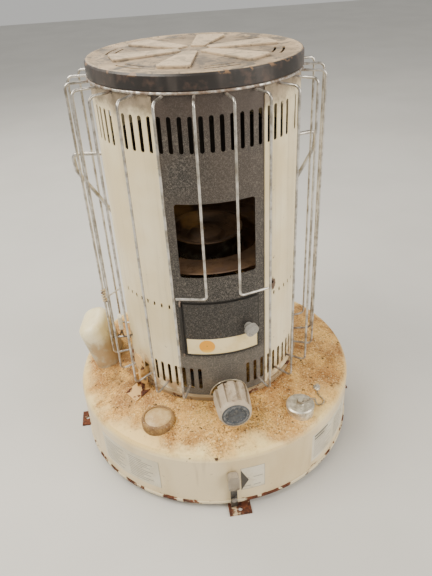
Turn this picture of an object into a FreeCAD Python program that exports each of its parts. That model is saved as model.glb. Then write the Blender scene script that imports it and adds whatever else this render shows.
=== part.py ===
"""Round wick-type kerosene room heater: fuel tank base, wick burner, slotted cabinet and wire guard.

Frame: millimetres, +Z up, front of the heater towards -Y, origin on the floor under the middle of the base.
Every driving size is a cell of the "dims" sheet. A sub-part names its sizes as expressions of those cells.
Radial pieces are drawn on the +X side of their own body and turned into place by the body's Placement.
"""
import FreeCAD, Part
import math
import os
import re

import Sketcher
from FreeCAD import Placement, Rotation, Vector

DIMS = {
    # floor, base and tank
    "foot_height": 12.0,
    "foot_reach": 247.0,
    "foot_width": 34.0,
    "foot_plate": 2.5,
    "base_radius": 230.0,
    "tank_sheet": 1.5,
    "wall_top": 101.0,
    "shoulder_radius": 219.0,
    "shoulder_height": 111.7,
    "deck_radius": 141.0,
    "deck_height": 133.0,
    "mouth_radius": 48.0,
    "seam_radius": 232.0,
    # cabinet
    "casing_radius": 136.5,
    "casing_sheet": 1.0,
    "casing_foot": 143.0,
    "casing_top": 609.2,
    "front_half_angle": 28.0,
    "slot_pitch": 360.0 / 70.0,
    "slot_radius": 2.7,
    "upper_slot_low": 522.0,
    "upper_slot_high": 565.5,
    "lower_slot_low": 156.0,
    "lower_slot_high": 195.5,
    "window_half_width": 51.0,
    "window_low": 353.0,
    "window_high": 459.0,
    "door_half_angle": 22.5,
    "door_low": 223.0,
    "door_high": 312.0,
    "door_inner_radius": 137.1,
    "door_sheet": 1.4,
    "lid_radius": 139.5,
    "lid_low": 594.0,
    "lid_high": 612.5,
    "lid_sheet": 1.5,
    "star_rise": 2.0,
    # guard and handles
    "guard_radius": 168.0,
    "guard_wire_radius": 1.7,
    "guard_ring_radius": 138.6,
    "guard_high": 588.0,
    "guard_low": 160.0,
    "guard_front_low": 340.0,
    "guard_step": 15.0,
    "handle_wire_radius": 2.8,
    "handle_reach": 188.0,
    "handle_high": 477.0,
    "handle_low": 384.0,
    "handle_azimuth": 105.0,
    # burner and wick
    "air_tube_radius": 34.5,
    "wick_inner_radius": 35.6,
    "wick_outer_radius": 38.6,
    "wick_low": 110.0,
    "wick_high": 200.0,
    "carrier_radius": 40.0,
    "guide_inner_radius": 41.0,
    "guide_radius": 42.2,
    "guide_top": 204.0,
    "flame_inner_radius": 30.0,
    "flame_outer_radius": 44.0,
    "flame_top": 348.0,
    "glass_radius": 54.0,
    "glass_wall": 2.2,
    "glass_top": 360.0,
    "shelf_inner_radius": 82.0,
    "shelf_height": 351.0,
    # wick adjuster
    "adjuster_x": 5.0,
    "adjuster_height": 159.0,
    "shaft_radius": 4.0,
    "pinion_pitch_radius": 6.0,
    "knob_back": -152.0,
    "knob_front": -199.0,
    "knob_radius": 26.5,
    "knob_front_radius": 23.5,
    "tip_x": -40.0,
    "tip_pivot_height": 183.0,
    # fittings on the deck
    "filler_azimuth": 33.7,
    "filler_radius": 197.6,
    "cap_radius": 21.5,
    "cap_height": 7.4,
    "neck_radius": 17.0,
    "filler_seat": 123.2,
    "gauge_azimuth": -35.3,
    "gauge_radius": 183.5,
    "bezel_radius": 25.0,
    "gauge_seat": 126.0,
    "battery_azimuth": -98.5,
    "battery_radius": 181.5,
    "battery_width": 43.0,
    "battery_length": 74.0,
    "battery_top": 82.0,
    "battery_split": 54.0,
    "battery_wall": 2.2,
    "igniter_azimuth": -57.0,
    "igniter_pivot_radius": 148.0,
    "igniter_pivot_height": 152.0,
    # shut-off lever
    "lever_x": -8.0,
    "lever_width": 10.0,
    "lever_pivot_height": 24.0,
    "lever_cap_low": 53.0,
    "lever_cap_high": 81.0,
}

PINION_TEETH = 12
RACK_BELOW = -6
RACK_ABOVE = 3
HINGE_AZIMUTH = -23.7
HINGE_RADIUS = 139.8
DOOR_KNOB_AZIMUTH = 15.6
DOOR_KNOB_HEIGHT = 265.5

doc = FreeCAD.newDocument("kerosene_heater")
dims = doc.addObject("Spreadsheet::Sheet", "dims")
NODES = []


# ---------------------------------------------------------------- sizes and binding

def fill_sheet():
    """One row per driving dimension: its name, its plain value and an alias."""
    for row, (name, size) in enumerate(DIMS.items(), start=1):
        dims.set(f"A{row}", name)
        dims.set(f"B{row}", str(size))
        dims.setAlias(f"B{row}", name)
    doc.recompute()


def cells(text):
    """The expression with each dimension name pointed at its cell in the sheet."""
    return re.sub(r"[a-z_]+", lambda word: f"dims.{word[0]}" if word[0] in DIMS else word[0], text)


def num(size):
    """The value of a size, given as a number or as an expression of the sheet's names."""
    if isinstance(size, str):
        return float(dims.evalExpression(cells(size)))
    return float(size)


def bind(item, prop, size):
    """Set a property to a size and keep it bound to the sheet where the size is an expression."""
    setattr(item, prop, num(size))
    if isinstance(size, str):
        item.setExpression(prop, cells(size))


def kept(item, label):
    """Make this object a node of the heater under the given label."""
    item.Label = label
    NODES.append(item)
    return item


def blank(item):
    """Keep this object only as a step towards another one."""
    NODES.remove(item)
    item.Label = f"{item.Label}_blank"
    return item


def around(azimuth, radius=0.0, height=0.0, tilt=0.0):
    """Placement that carries a piece drawn on +X to an azimuth from the front, positive to the right."""
    turned = Placement(Vector(0, 0, 0), Rotation(Vector(0, 0, 1), num(azimuth) - 90.0))
    moved = Placement(Vector(num(radius), 0, num(height)), Rotation(Vector(0, 1, 0), num(tilt)))
    return turned.multiply(moved)


def deck_slope():
    """Tilt of the conical deck from level, in degrees."""
    rise = num("deck_height - shoulder_height")
    run = num("shoulder_radius - deck_radius")
    return math.degrees(math.atan2(rise, run))


def deck_level(radius):
    """Height of the deck's upper face at a radius from the middle."""
    share = (num("shoulder_radius") - num(radius)) / num("shoulder_radius - deck_radius")
    return num("shoulder_height") + share * num("deck_height - shoulder_height")


def on_deck(azimuth, radius, lift=0.0):
    """Placement with its z axis square to the deck, at an azimuth and radius."""
    base = around(azimuth, radius, deck_level(radius), deck_slope())
    return base.multiply(Placement(Vector(0, 0, lift), Rotation()))


def filler_place():
    """Placement of the level seat round the filler spout."""
    return around("filler_azimuth", "filler_radius", "filler_seat")


def gauge_place():
    """Placement of the level boss that carries the fuel gauge."""
    return around("gauge_azimuth", "gauge_radius", "gauge_seat")


# ---------------------------------------------------------------- sketches

def new_body(label):
    """An empty PartDesign body that is a node of the heater."""
    return kept(doc.addObject("PartDesign::Body", label), label)


def new_sketch(body, plane, name="outline", azimuth=0.0, offset=0.0):
    """A sketch on one of the body's origin planes, swung about z by azimuth and moved along its normal."""
    sketch = body.newObject("Sketcher::SketchObject", f"{body.Name}_{name}")
    home = [item for item in body.Origin.OriginFeatures if item.Role == plane][0]
    sketch.AttachmentSupport = (home, [""])
    sketch.MapMode = "FlatFace"
    swung = Placement(Vector(0, 0, 0), Rotation(Vector(0, 1, 0), num(azimuth)))
    sketch.AttachmentOffset = swung.multiply(Placement(Vector(0, 0, num(offset)), Rotation()))
    return sketch


def hold(sketch, kind, first, size, *rest):
    """A dimensional constraint, bound to the sheet where its size is an expression."""
    index = sketch.addConstraint(Sketcher.Constraint(kind, *first, num(size)))
    if isinstance(size, str):
        name = f"size_{index}"
        sketch.renameConstraint(index, name)
        sketch.setExpression(f"Constraints.{name}", cells(size))


def locate(sketch, edge, end, x, y):
    """Fix one point of an edge at x, y from the sketch's origin."""
    for kind, axis, size in (("DistanceX", -2, x), ("DistanceY", -1, y)):
        if abs(num(size)) < 1e-9:
            sketch.addConstraint(Sketcher.Constraint("PointOnObject", edge, end, axis))
        else:
            hold(sketch, kind, (-1, 1, edge, end), size)


def outline(sketch, points):
    """A closed outline of straight edges through the points."""
    first = sketch.GeometryCount
    count = len(points)
    places = [Vector(num(x), num(y), 0) for x, y in points]
    for index in range(count):
        sketch.addGeometry(Part.LineSegment(places[index], places[(index + 1) % count]), False)
    for index in range(count):
        following = first + (index + 1) % count
        sketch.addConstraint(Sketcher.Constraint("Coincident", first + index, 2, following, 1))
    for index, (x, y) in enumerate(points):
        locate(sketch, first + index, 1, x, y)


def ring(sketch, x, y, radius):
    """A full circle."""
    edge = sketch.addGeometry(Part.Circle(Vector(num(x), num(y), 0), Vector(0, 0, 1), num(radius)), False)
    locate(sketch, edge, 3, x, y)
    hold(sketch, "Radius", (edge,), radius)


def slot(sketch, x, low, high, radius):
    """An upright slot with round ends; low and high are the centres of its ends."""
    cx, z_low, z_high, reach = num(x), num(low), num(high), num(radius)
    up = Vector(0, 0, 1)
    foot = Part.ArcOfCircle(Part.Circle(Vector(cx, z_low, 0), up, reach), math.pi, 2 * math.pi)
    head = Part.ArcOfCircle(Part.Circle(Vector(cx, z_high, 0), up, reach), 0, math.pi)
    right = Part.LineSegment(Vector(cx + reach, z_low, 0), Vector(cx + reach, z_high, 0))
    left = Part.LineSegment(Vector(cx - reach, z_high, 0), Vector(cx - reach, z_low, 0))
    first = sketch.addGeometry(foot, False)
    for edge in (right, head, left):
        sketch.addGeometry(edge, False)
    for index in range(4):
        sketch.addConstraint(Sketcher.Constraint("Tangent", first + index, 2, first + (index + 1) % 4, 1))
    sketch.addConstraint(Sketcher.Constraint("Equal", first, first + 2))
    locate(sketch, first, 3, x, low)
    locate(sketch, first + 2, 3, x, high)
    hold(sketch, "Radius", (first,), radius)


def rounded_rectangle(sketch, x, y, half_x, half_y, radius):
    """A rectangle about x, y whose corners are arcs of one radius."""
    reach = num(radius)
    up = Vector(0, 0, 1)
    arcs = []
    for turn_count, (side_x, side_y) in enumerate(((1, 1), (-1, 1), (-1, -1), (1, -1))):
        centre = Vector(num(x) + side_x * (num(half_x) - reach), num(y) + side_y * (num(half_y) - reach), 0)
        start = turn_count * math.pi / 2
        arcs.append(Part.ArcOfCircle(Part.Circle(centre, up, reach), start, start + math.pi / 2))
    first = sketch.GeometryCount
    for index, arc in enumerate(arcs):
        sketch.addGeometry(arc, False)
        following = arcs[(index + 1) % 4]
        sketch.addGeometry(Part.LineSegment(arc.EndPoint, following.StartPoint), False)
    for index in range(8):
        following = first + (index + 1) % 8
        sketch.addConstraint(Sketcher.Constraint("Tangent", first + index, 2, following, 1))
    for index, (side_x, side_y) in enumerate((("+", "+"), ("-", "+"), ("-", "-"), ("+", "-"))):
        corner = first + 2 * index
        locate(sketch, corner, 3, f"{x} {side_x} ({half_x} - {radius})", f"{y} {side_y} ({half_y} - {radius})")
        hold(sketch, "Radius", (corner,), radius)


# ---------------------------------------------------------------- PartDesign features

def turn(body, points, angle=360.0, kind="Revolution", name="turned", azimuth=0.0):
    """Turn an outline drawn on the XZ plane about the body's z axis, centred on +X when partial."""
    sketch = new_sketch(body, "XZ_Plane", name + "_profile", azimuth)
    outline(sketch, points)
    feature = body.newObject(f"PartDesign::{kind}", f"{body.Name}_{name}")
    feature.Profile = sketch
    feature.ReferenceAxis = (sketch, ["V_Axis"])
    feature.Midplane = num(angle) < 360.0
    bind(feature, "Angle", angle)
    body.Tip = feature
    return feature


def turned(label, points, angle=360.0):
    """A node that is one turned outline."""
    body = new_body(label)
    turn(body, points, angle)
    return body


def pad(body, plane, draw, length, back=False, both=False, name="pad", offset=0.0):
    """Pad what draw(sketch) puts on a plane."""
    sketch = new_sketch(body, plane, name + "_profile", 0.0, offset)
    draw(sketch)
    feature = body.newObject("PartDesign::Pad", f"{body.Name}_{name}")
    feature.Profile = sketch
    bind(feature, "Length", length)
    feature.Reversed = back
    if both:
        feature.SideType = "Symmetric"
    body.Tip = feature
    return feature


def pocket(body, plane, draw, length, back=True, both=False, name="pocket", azimuth=0.0, offset=0.0):
    """Cut what draw(sketch) puts on a plane, towards the sketch's normal when back is set."""
    sketch = new_sketch(body, plane, name + "_profile", azimuth, offset)
    draw(sketch)
    feature = body.newObject("PartDesign::Pocket", f"{body.Name}_{name}")
    feature.Profile = sketch
    bind(feature, "Length", length)
    feature.Reversed = back
    if both:
        feature.SideType = "Symmetric"
    body.Tip = feature
    return feature


def repeat(body, originals, count, angle, name="pattern"):
    """Repeat features about the body's z axis; angle is from the first to the last."""
    axis = [item for item in body.Origin.OriginFeatures if item.Role == "Z_Axis"][0]
    feature = body.newObject("PartDesign::PolarPattern", f"{body.Name}_{name}")
    feature.Originals = originals
    feature.Axis = (axis, [""])
    feature.Mode = "Extent"
    bind(feature, "Angle", angle)
    feature.Occurrences = count
    body.Tip = feature
    return feature


# ---------------------------------------------------------------- Part primitives

def block(name, length, width, height, place):
    """A box whose middle of the base is at the placement's origin."""
    box = doc.addObject("Part::Box", name)
    bind(box, "Length", length)
    bind(box, "Width", width)
    bind(box, "Height", height)
    box.Placement = place.multiply(Placement(Vector(-num(length) / 2, -num(width) / 2, 0), Rotation()))
    return box


def rod(name, radius, height, place):
    """A cylinder that rises from the placement's origin along its z axis."""
    cylinder = doc.addObject("Part::Cylinder", name)
    bind(cylinder, "Radius", radius)
    bind(cylinder, "Height", height)
    cylinder.Placement = place
    return cylinder


def fuse(name, shapes):
    """One solid of several primitives."""
    result = doc.addObject("Part::MultiFuse", name)
    result.Shapes = shapes
    result.Refine = True
    return result


def cut(name, base, tool):
    """The base without the tool."""
    result = doc.addObject("Part::Cut", name)
    result.Base = base
    result.Tool = tool
    return result


def at(x, y, z, axis=(0, 0, 1)):
    """Placement at a point with its z axis along the given direction."""
    return Placement(Vector(num(x), num(y), num(z)), Rotation(Vector(0, 0, 1), Vector(*axis)))


def wire_path(points, bend):
    """Straight runs through the points joined by tangent arcs of one radius."""
    edges = []
    start = points[0]
    for before, corner, after in zip(points, points[1:], points[2:]):
        inward = (before - corner).normalize()
        outward = (after - corner).normalize()
        half_turn = (math.pi - inward.getAngle(outward)) / 2
        setback = bend * math.tan(half_turn)
        arc_start = corner + inward * setback
        arc_end = corner + outward * setback
        bisector = (inward + outward).normalize()
        centre = corner + bisector * (bend / math.cos(half_turn))
        middle = centre - bisector * bend
        edges.append(Part.LineSegment(start, arc_start).toShape())
        edges.append(Part.Arc(arc_start, middle, arc_end).toShape())
        start = arc_end
    edges.append(Part.LineSegment(start, points[-1]).toShape())
    return Part.Wire(edges)


def bent_wire(points, bend, radius):
    """Round wire along a bent path."""
    path = wire_path(points, bend)
    heading = (points[1] - points[0]).normalize()
    section = Part.Wire([Part.Circle(points[0], heading, radius).toShape()])
    return path.makePipeShell([section], True, True)


def formed(label, solids):
    """A node of bent wires and other shapes that Part makes directly."""
    item = kept(doc.addObject("Part::Feature", label), label)
    item.Shape = solids[0] if len(solids) == 1 else Part.makeCompound(solids)
    return item


def polar(azimuth, radius, height):
    """A point at an azimuth from the front, positive to the right."""
    angle = math.radians(azimuth)
    return Vector(radius * math.sin(angle), -radius * math.cos(angle), height)


# ---------------------------------------------------------------- fuel tank and feet

def tank_shell():
    """Enamelled wall and sloping deck in one drawn shell, open in the middle for the burner."""
    return blank(turned("fuel_tank_shell", [
        ("base_radius", "foot_height"),
        ("base_radius", "wall_top"),
        ("base_radius - 2", "wall_top + 5"),
        ("base_radius - 5.5", "wall_top + 9"),
        ("shoulder_radius", "shoulder_height"),
        ("deck_radius", "deck_height"),
        ("mouth_radius", "deck_height"),
        ("mouth_radius", "deck_height - tank_sheet"),
        ("deck_radius", "deck_height - tank_sheet"),
        ("shoulder_radius", "shoulder_height - tank_sheet"),
        ("base_radius - 6.5", "wall_top + 7.5"),
        ("base_radius - 3.3", "wall_top + 4.3"),
        ("base_radius - tank_sheet", "wall_top - 0.5"),
        ("base_radius - tank_sheet", "foot_height"),
    ]))


def fuel_tank_top():
    """The tank shell with its filler and gauge holes cut level and the holes for the burner's screws."""
    shell = tank_shell()
    below = Placement(Vector(0, 0, -24), Rotation())
    filler = rod("filler_hole", "cap_radius - 0.7", 40, filler_place().multiply(below))
    gauge = rod("gauge_hole", "bezel_radius", 40, gauge_place().multiply(below))
    screws = []
    for index in range(4):
        spot = polar(45 + 90 * index, num("mouth_radius") + 9, num("deck_height") - 5)
        screws.append(rod(f"screw_hole_{index}", 2.05, 10, Placement(spot, Rotation())))
    holes = fuse("deck_holes", [filler, gauge] + screws)
    kept(cut("fuel_tank_top", shell, holes), "fuel_tank_top")


def fuel_tank_bottom():
    """Bottom pan with the rolled seam that closes the tank's wall."""
    turned("fuel_tank_bottom", [
        ("air_tube_radius", "foot_height - 1.5"),
        ("seam_radius - 1", "foot_height - 1.5"),
        ("seam_radius", "foot_height - 0.5"),
        ("seam_radius", "foot_height + 3"),
        ("seam_radius - 1", "foot_height + 4"),
        ("base_radius", "foot_height + 4"),
        ("base_radius", "foot_height"),
        ("air_tube_radius", "foot_height"),
    ])


def feet():
    """Four Z-shaped brackets under the seam, each with a hole in the tab that rests on the floor."""
    for name, azimuth in (("front", 0), ("right", 90), ("back", 180), ("left", -90)):
        body = new_body(f"foot_{name}")
        pad(body, "XZ_Plane", lambda sketch: outline(sketch, [
            ("foot_reach - 22", 0),
            ("foot_reach", 0),
            ("foot_reach", "foot_plate"),
            ("foot_reach - 19.5", "foot_plate"),
            ("foot_reach - 19.5", "foot_height - 1.5"),
            ("foot_reach - 46", "foot_height - 1.5"),
            ("foot_reach - 46", "foot_height - 4"),
            ("foot_reach - 22", "foot_height - 4"),
        ]), "foot_width", both=True)
        pocket(body, "XY_Plane", lambda sketch: ring(sketch, "foot_reach - 9", 0, 3.5), "foot_plate * 2",
               both=True, name="hole")
        body.Placement = around(azimuth)


# ---------------------------------------------------------------- filler

def filler_neck():
    """Level boss soldered into the deck with the threaded spout on it."""
    body = turned("filler_neck", [
        ("neck_radius - 1.5", -1.5),
        ("cap_radius - 2.2", -1.5),
        ("cap_radius - 2.2", -17),
        ("cap_radius - 0.7", -17),
        ("cap_radius - 0.7", 0),
        ("neck_radius", 0),
        ("neck_radius", 0.8),
        ("neck_radius + 0.8", 1.4),
        ("neck_radius + 0.8", 2.4),
        ("neck_radius", 3.0),
        ("neck_radius", 4.6),
        ("neck_radius - 1.5", 4.6),
    ])
    body.Placement = filler_place()


def fuel_strainer():
    """Cup-shaped strainer that hangs in the spout."""
    body = turned("fuel_strainer", [
        (0, -42),
        ("neck_radius - 4", -42),
        ("neck_radius - 2.4", 3.8),
        ("neck_radius - 1.6", 3.8),
        ("neck_radius - 1.6", 4.6),
        ("neck_radius - 3.2", 4.6),
        ("neck_radius - 4.8", -41.2),
        (0, -41.2),
    ])
    body.Placement = filler_place()


def filler_cap():
    """Screw cap with a knurled skirt and a stud in the middle for the chain's swivel."""
    body = new_body("filler_cap")
    turn(body, [
        (0, 5.7),
        ("neck_radius + 2.2", 5.7),
        ("neck_radius + 2.2", 0.7),
        ("cap_radius", 0.7),
        ("cap_radius", "cap_height - 2"),
        ("cap_radius - 1.8", "cap_height - 0.4"),
        ("cap_radius - 3.5", "cap_height"),
        (7, "cap_height"),
        (6.2, "cap_height + 1.6"),
        (2.4, "cap_height + 1.6"),
        (2.4, "cap_height + 4.6"),
        (3.6, "cap_height + 4.6"),
        (3.6, "cap_height + 6"),
        (0, "cap_height + 6"),
    ])
    notch = pocket(body, "XY_Plane", lambda sketch: ring(sketch, "cap_radius + 0.6", 0, 1.3),
                   "cap_height - 2", name="knurl")
    repeat(body, [notch], 36, 350, "knurls")
    body.Placement = filler_place()


def filler_cap_gasket():
    """Flat ring inside the cap that seals on the spout."""
    body = turned("filler_cap_gasket", [
        ("neck_radius - 1", 4.7),
        ("neck_radius + 2", 4.7),
        ("neck_radius + 2", 5.7),
        ("neck_radius - 1", 5.7),
    ])
    body.Placement = filler_place()


def cap_chain():
    """Bead chain from the cap's swivel ring over its edge and back to the anchor, resting on the deck."""
    radius = 1.5
    top = num("filler_seat + cap_height")
    swivel = filler_place().multiply(Placement(Vector(0, 0, num("cap_height") + 3.1), Rotation()))
    eye = Part.makeTorus(4.4, 1.1, swivel.Base, swivel.Rotation.multVec(Vector(0, 0, 1)))
    middle = polar(num("filler_azimuth"), num("filler_radius"), 0)
    heading = (polar(43.5, 219, 0) - middle).normalize()
    stops = []
    for reach, height in ((6.7, top + 3.2), (15, top + 2.6), (22.4, top + 1.8), (25.6, top - 5), (29.6, 117.4)):
        spot = middle + heading * reach
        stops.append(Vector(spot.x, spot.y, height))
    for azimuth, reach in ((43.6, 216), (45.4, 213), (45.8, 206), (46.8, 200), (48.0, 197.0)):
        stops.append(polar(azimuth, reach, deck_level(reach) + radius + 0.4))
    curve = Part.BSplineCurve()
    curve.interpolate(stops)
    count = int(curve.length() / (2 * radius + 0.7))
    beads = [eye]
    for index in range(count):
        spot = curve.value(curve.parameterAtDistance((index + 0.5) * curve.length() / count))
        beads.append(Part.makeSphere(radius, spot))
    formed("cap_chain", beads)


def chain_anchor():
    """Screwed eye on the deck that holds the chain's other end."""
    place = on_deck(49.6, 194)
    washer = rod("anchor_washer", 5.5, 1.2, place)
    head = rod("anchor_head", 3.2, 3.4, place)
    loop = doc.addObject("Part::Torus", "anchor_loop")
    loop.Radius1 = 3.6
    loop.Radius2 = 0.9
    upright = Placement(Vector(0, 0, 5.0), Rotation(Vector(1, 0, 0), 90))
    loop.Placement = place.multiply(upright)
    kept(fuse("chain_anchor", [washer, head, loop]), "chain_anchor")


# ---------------------------------------------------------------- fuel gauge

def gauge():
    """Float gauge let into the deck: bezel, domed lens, dial, needle and the float on its arm."""
    place = gauge_place()
    bezel = turned("gauge_bezel", [
        ("bezel_radius - 6.5", -8),
        ("bezel_radius - 5", -8),
        ("bezel_radius - 5", -1.2),
        ("bezel_radius - 1.5", -1.2),
        ("bezel_radius - 1.5", -18),
        ("bezel_radius", -18),
        ("bezel_radius", 1.8),
        ("bezel_radius - 1.2", 3.8),
        ("bezel_radius - 3.2", 4.6),
        ("bezel_radius - 4.4", 3.8),
        ("bezel_radius - 4.4", 2.4),
        ("bezel_radius - 6.5", 2.4),
    ])
    lens = turned("gauge_lens", [
        (0, 6.8),
        (8, 6.5),
        (15, 5.2),
        ("bezel_radius - 6", 3.4),
        ("bezel_radius - 4.5", 2.5),
        ("bezel_radius - 6.4", 2.5),
        (15, 4),
        (8, 5.3),
        (0, 5.6),
    ])
    disc = blank(turned("gauge_disc", [
        (1.3, -4.5),
        ("bezel_radius - 6.6", -4.5),
        ("bezel_radius - 6.6", -3.5),
        (1.3, -3.5),
    ]))
    needle = new_body("gauge_needle")
    pad(needle, "XY_Plane", lambda sketch: outline(sketch, [
        (-5, -1.6),
        (15, -0.7),
        (15, 0.7),
        (-5, 1.6),
    ]), 1.0, name="blade")
    pad(needle, "XY_Plane", lambda sketch: ring(sketch, 0, 0, 1.25), 8, back=True, name="staff")
    for body in (bezel, lens, disc):
        body.Placement = place
    needle.Placement = place.multiply(Placement(Vector(0, 0, -2.6), Rotation(Vector(0, 0, 1), 35)))


    pivot = float_pivot()
    posts = []
    for side, height in ((-1, 21.0), (1, 21.0)):
        foot = pivot.multiply(Placement(Vector(0, side * 7.2, -3), Rotation()))
        posts.append(block(f"gauge_post_{side + 1}", 4, 2, height, foot))
    pin = rod("gauge_pin", 1.5, 16, pivot.multiply(
        Placement(Vector(0, -8, 0), Rotation(Vector(1, 0, 0), -90))))
    kept(fuse("gauge_dial", [disc, pin] + posts), "gauge_dial")


def float_pivot():
    """Placement of the float's pivot under the gauge: its arm along x and its pin along y."""
    middle = polar(num("gauge_azimuth"), num("gauge_radius"), num("gauge_seat") - 22)
    return Placement(middle, Rotation(Vector(0, 0, 1), 20))


def gauge_float():
    """Float and its arm, which swings in the tank and turns the needle."""
    turned_place = float_pivot()
    sideways = turned_place.multiply(Placement(Vector(0, -5, 0), Rotation(Vector(1, 0, 0), -90)))
    hub = rod("float_hub", 3.5, 10, sideways)
    hole = rod("float_hub_hole", 1.55, 12, turned_place.multiply(
        Placement(Vector(0, -6, 0), Rotation(Vector(1, 0, 0), -90))))
    arm = block("float_arm", 58, 2.5, 2.5, turned_place.multiply(Placement(Vector(31, 0, -1.25), Rotation())))
    cork = rod("float_body", 13, 26, turned_place.multiply(
        Placement(Vector(72, -13, 0), Rotation(Vector(1, 0, 0), -90))))
    kept(cut("gauge_float", fuse("float_solid", [hub, arm, cork]), hole), "gauge_float")


# ---------------------------------------------------------------- wick and burner

def wick_tubes():
    """Central air tube and the outer wick guide with its flange on the deck."""
    turned("wick_tube_inner", [
        ("air_tube_radius - 1.2", "foot_height - 1.5"),
        ("air_tube_radius", "foot_height - 1.5"),
        ("air_tube_radius", "guide_top"),
        ("air_tube_radius - 1.2", "guide_top"),
    ])
    body = turned("wick_tube_outer", [
        ("guide_inner_radius", "foot_height + 20"),
        ("guide_radius", "foot_height + 20"),
        ("guide_radius", "deck_height + 0.1"),
        ("mouth_radius + 16", "deck_height + 0.1"),
        ("mouth_radius + 16", "deck_height + 1.8"),
        ("guide_radius", "deck_height + 1.8"),
        ("guide_radius", "guide_top"),
        ("guide_inner_radius", "guide_top"),
    ])
    # window in the guide where the pinion reaches the rack on the wick's carrier
    pocket(body, "YZ_Plane", lambda sketch: outline(sketch, [
        (-14, "adjuster_height - 20"),
        (14, "adjuster_height - 20"),
        (14, "adjuster_height + 26"),
        (-14, "adjuster_height + 26"),
    ]), 60, name="rack_window")
    screw = pocket(body, "XY_Plane", lambda sketch: ring(sketch, "(mouth_radius + 9) * cos(45 deg)",
                                                         "(mouth_radius + 9) * sin(45 deg)", 2.05), 300,
                   name="screw_hole")
    repeat(body, [screw], 4, 270, "screw_holes")
    body.Placement = around(0)


def wick():
    """Woven ring wick between the two tubes."""
    turned("wick", [
        ("wick_inner_radius", "wick_low"),
        ("wick_outer_radius", "wick_low"),
        ("wick_outer_radius", "wick_high"),
        ("wick_inner_radius", "wick_high"),
    ])


def rack_outline(sketch):
    """Back edge and teeth of the rack; a valley faces the pinion's tooth at the shaft's height."""
    module = num("pinion_pitch_radius") / PINION_TEETH * 2
    pitch = math.pi * module
    line = num("adjuster_x - pinion_pitch_radius")
    root = line - 1.1 * module
    tip = line + 0.8 * module
    back = line - 4.5 * module
    level = num("adjuster_height")
    points = [(back, level + RACK_BELOW * pitch)]
    for index in range(RACK_BELOW, RACK_ABOVE):
        middle = level + (index + 0.5) * pitch
        points.append((root, middle - 1.02 * module))
        points.append((tip, middle - 0.33 * module))
        points.append((tip, middle + 0.33 * module))
        points.append((root, middle + 1.02 * module))
    points.append((back, level + RACK_ABOVE * pitch))
    outline(sketch, points)


def wick_carrier():
    """Sleeve round the wick with a rack that the pinion drives up and down."""
    sleeve = blank(turned("carrier_sleeve", [
        ("wick_outer_radius + 0.2", "wick_low + 4"),
        ("carrier_radius", "wick_low + 4"),
        ("carrier_radius", "wick_high - 14"),
        ("wick_outer_radius + 0.2", "wick_high - 14"),
    ]))
    rack = blank(new_body("carrier_rack"))
    pad(rack, "XZ_Plane", rack_outline, 6)
    rack.Placement = Placement(Vector(0, -42.5, 0), Rotation())
    module = num("pinion_pitch_radius") / PINION_TEETH * 2
    low = num("adjuster_height") + RACK_BELOW * math.pi * module
    high = num("adjuster_height") + RACK_ABOVE * math.pi * module
    middle = num("adjuster_x - pinion_pitch_radius") - 3 * module
    bridge = block("carrier_bridge", 2.9, 6, high - low, at(middle, -41.7, low))
    kept(fuse("wick_carrier", [sleeve, rack, bridge]), "wick_carrier")


def pinion_outline(sketch):
    """Straight-sided teeth of the pinion; one tooth points at the rack."""
    module = num("pinion_pitch_radius") / PINION_TEETH * 2
    pitch_radius = num("pinion_pitch_radius")
    half_tooth = math.pi / PINION_TEETH
    corners = (
        (-0.80, pitch_radius - 1.15 * module),
        (-0.22, pitch_radius + 0.75 * module),
        (0.22, pitch_radius + 0.75 * module),
        (0.80, pitch_radius - 1.15 * module),
    )
    points = []
    for index in range(PINION_TEETH):
        middle = math.pi + 2 * half_tooth * index
        for share, radius in corners:
            angle = middle + share * half_tooth
            points.append((radius * math.cos(angle), radius * math.sin(angle)))
    outline(sketch, points)


def adjuster_shaft():
    """Shaft from the pinion at the wick carrier to the knob at the front."""
    body = new_body("adjuster_shaft")
    pad(body, "XZ_Plane", pinion_outline, 5.5, name="pinion")
    pad(body, "XZ_Plane", lambda sketch: ring(sketch, 0, 0, "shaft_radius"), 141, name="shaft")
    body.Placement = Placement(Vector(num("adjuster_x"), -43, num("adjuster_height")), Rotation())


def adjuster_housing():
    """Bearing tube for the adjuster shaft on a saddle that is screwed to the deck."""
    x = num("adjuster_x")
    z = num("adjuster_height")
    tube = rod("housing_tube", "shaft_radius + 4", 60, at(x, -62, z, (0, -1, 0)))
    foot = block("housing_foot", 26, 44, "adjuster_height - deck_height - 2", at(x, -92, num("deck_height")))
    bore = rod("housing_bore", "shaft_radius + 0.06", 90, at(x, -50, z, (0, -1, 0)))
    slimmer = block("housing_relief", 9, 60, 14, at(x + 11, -92, num("deck_height") + 4))
    other = block("housing_relief_left", 9, 60, 14, at(x - 11, -92, num("deck_height") + 4))
    post = block("tip_post", 6, 6, 36, at(-4, -111, 150))
    beam = block("tip_beam", 40, 6, 6, at(-22, -111, "tip_pivot_height - 3"))
    pin = rod("tip_pin", 2, 16, at("tip_x", -110, "tip_pivot_height", (0, 1, 0)))
    solid = fuse("housing_solid", [tube, foot, post, beam, pin])
    kept(cut("adjuster_housing", solid, fuse("housing_cuts", [bore, slimmer, other])), "adjuster_housing")


def tip_weight():
    """Pendulum that swings and trips the shut-off when the heater is knocked or tipped."""
    x = num("tip_x")
    pivot = num("tip_pivot_height")
    hub = rod("tip_hub", 5, 8, at(x, -102, pivot, (0, 1, 0)))
    stem = block("tip_stem", 4, 4, 30, at(x, -98, pivot - 31))
    weight = rod("tip_bob", 11, 14, at(x, -98, pivot - 42))
    bore = rod("tip_bore", 2.06, 12, at(x, -104, pivot, (0, 1, 0)))
    kept(cut("tip_weight", fuse("tip_solid", [hub, stem, weight]), bore), "tip_weight")


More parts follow.
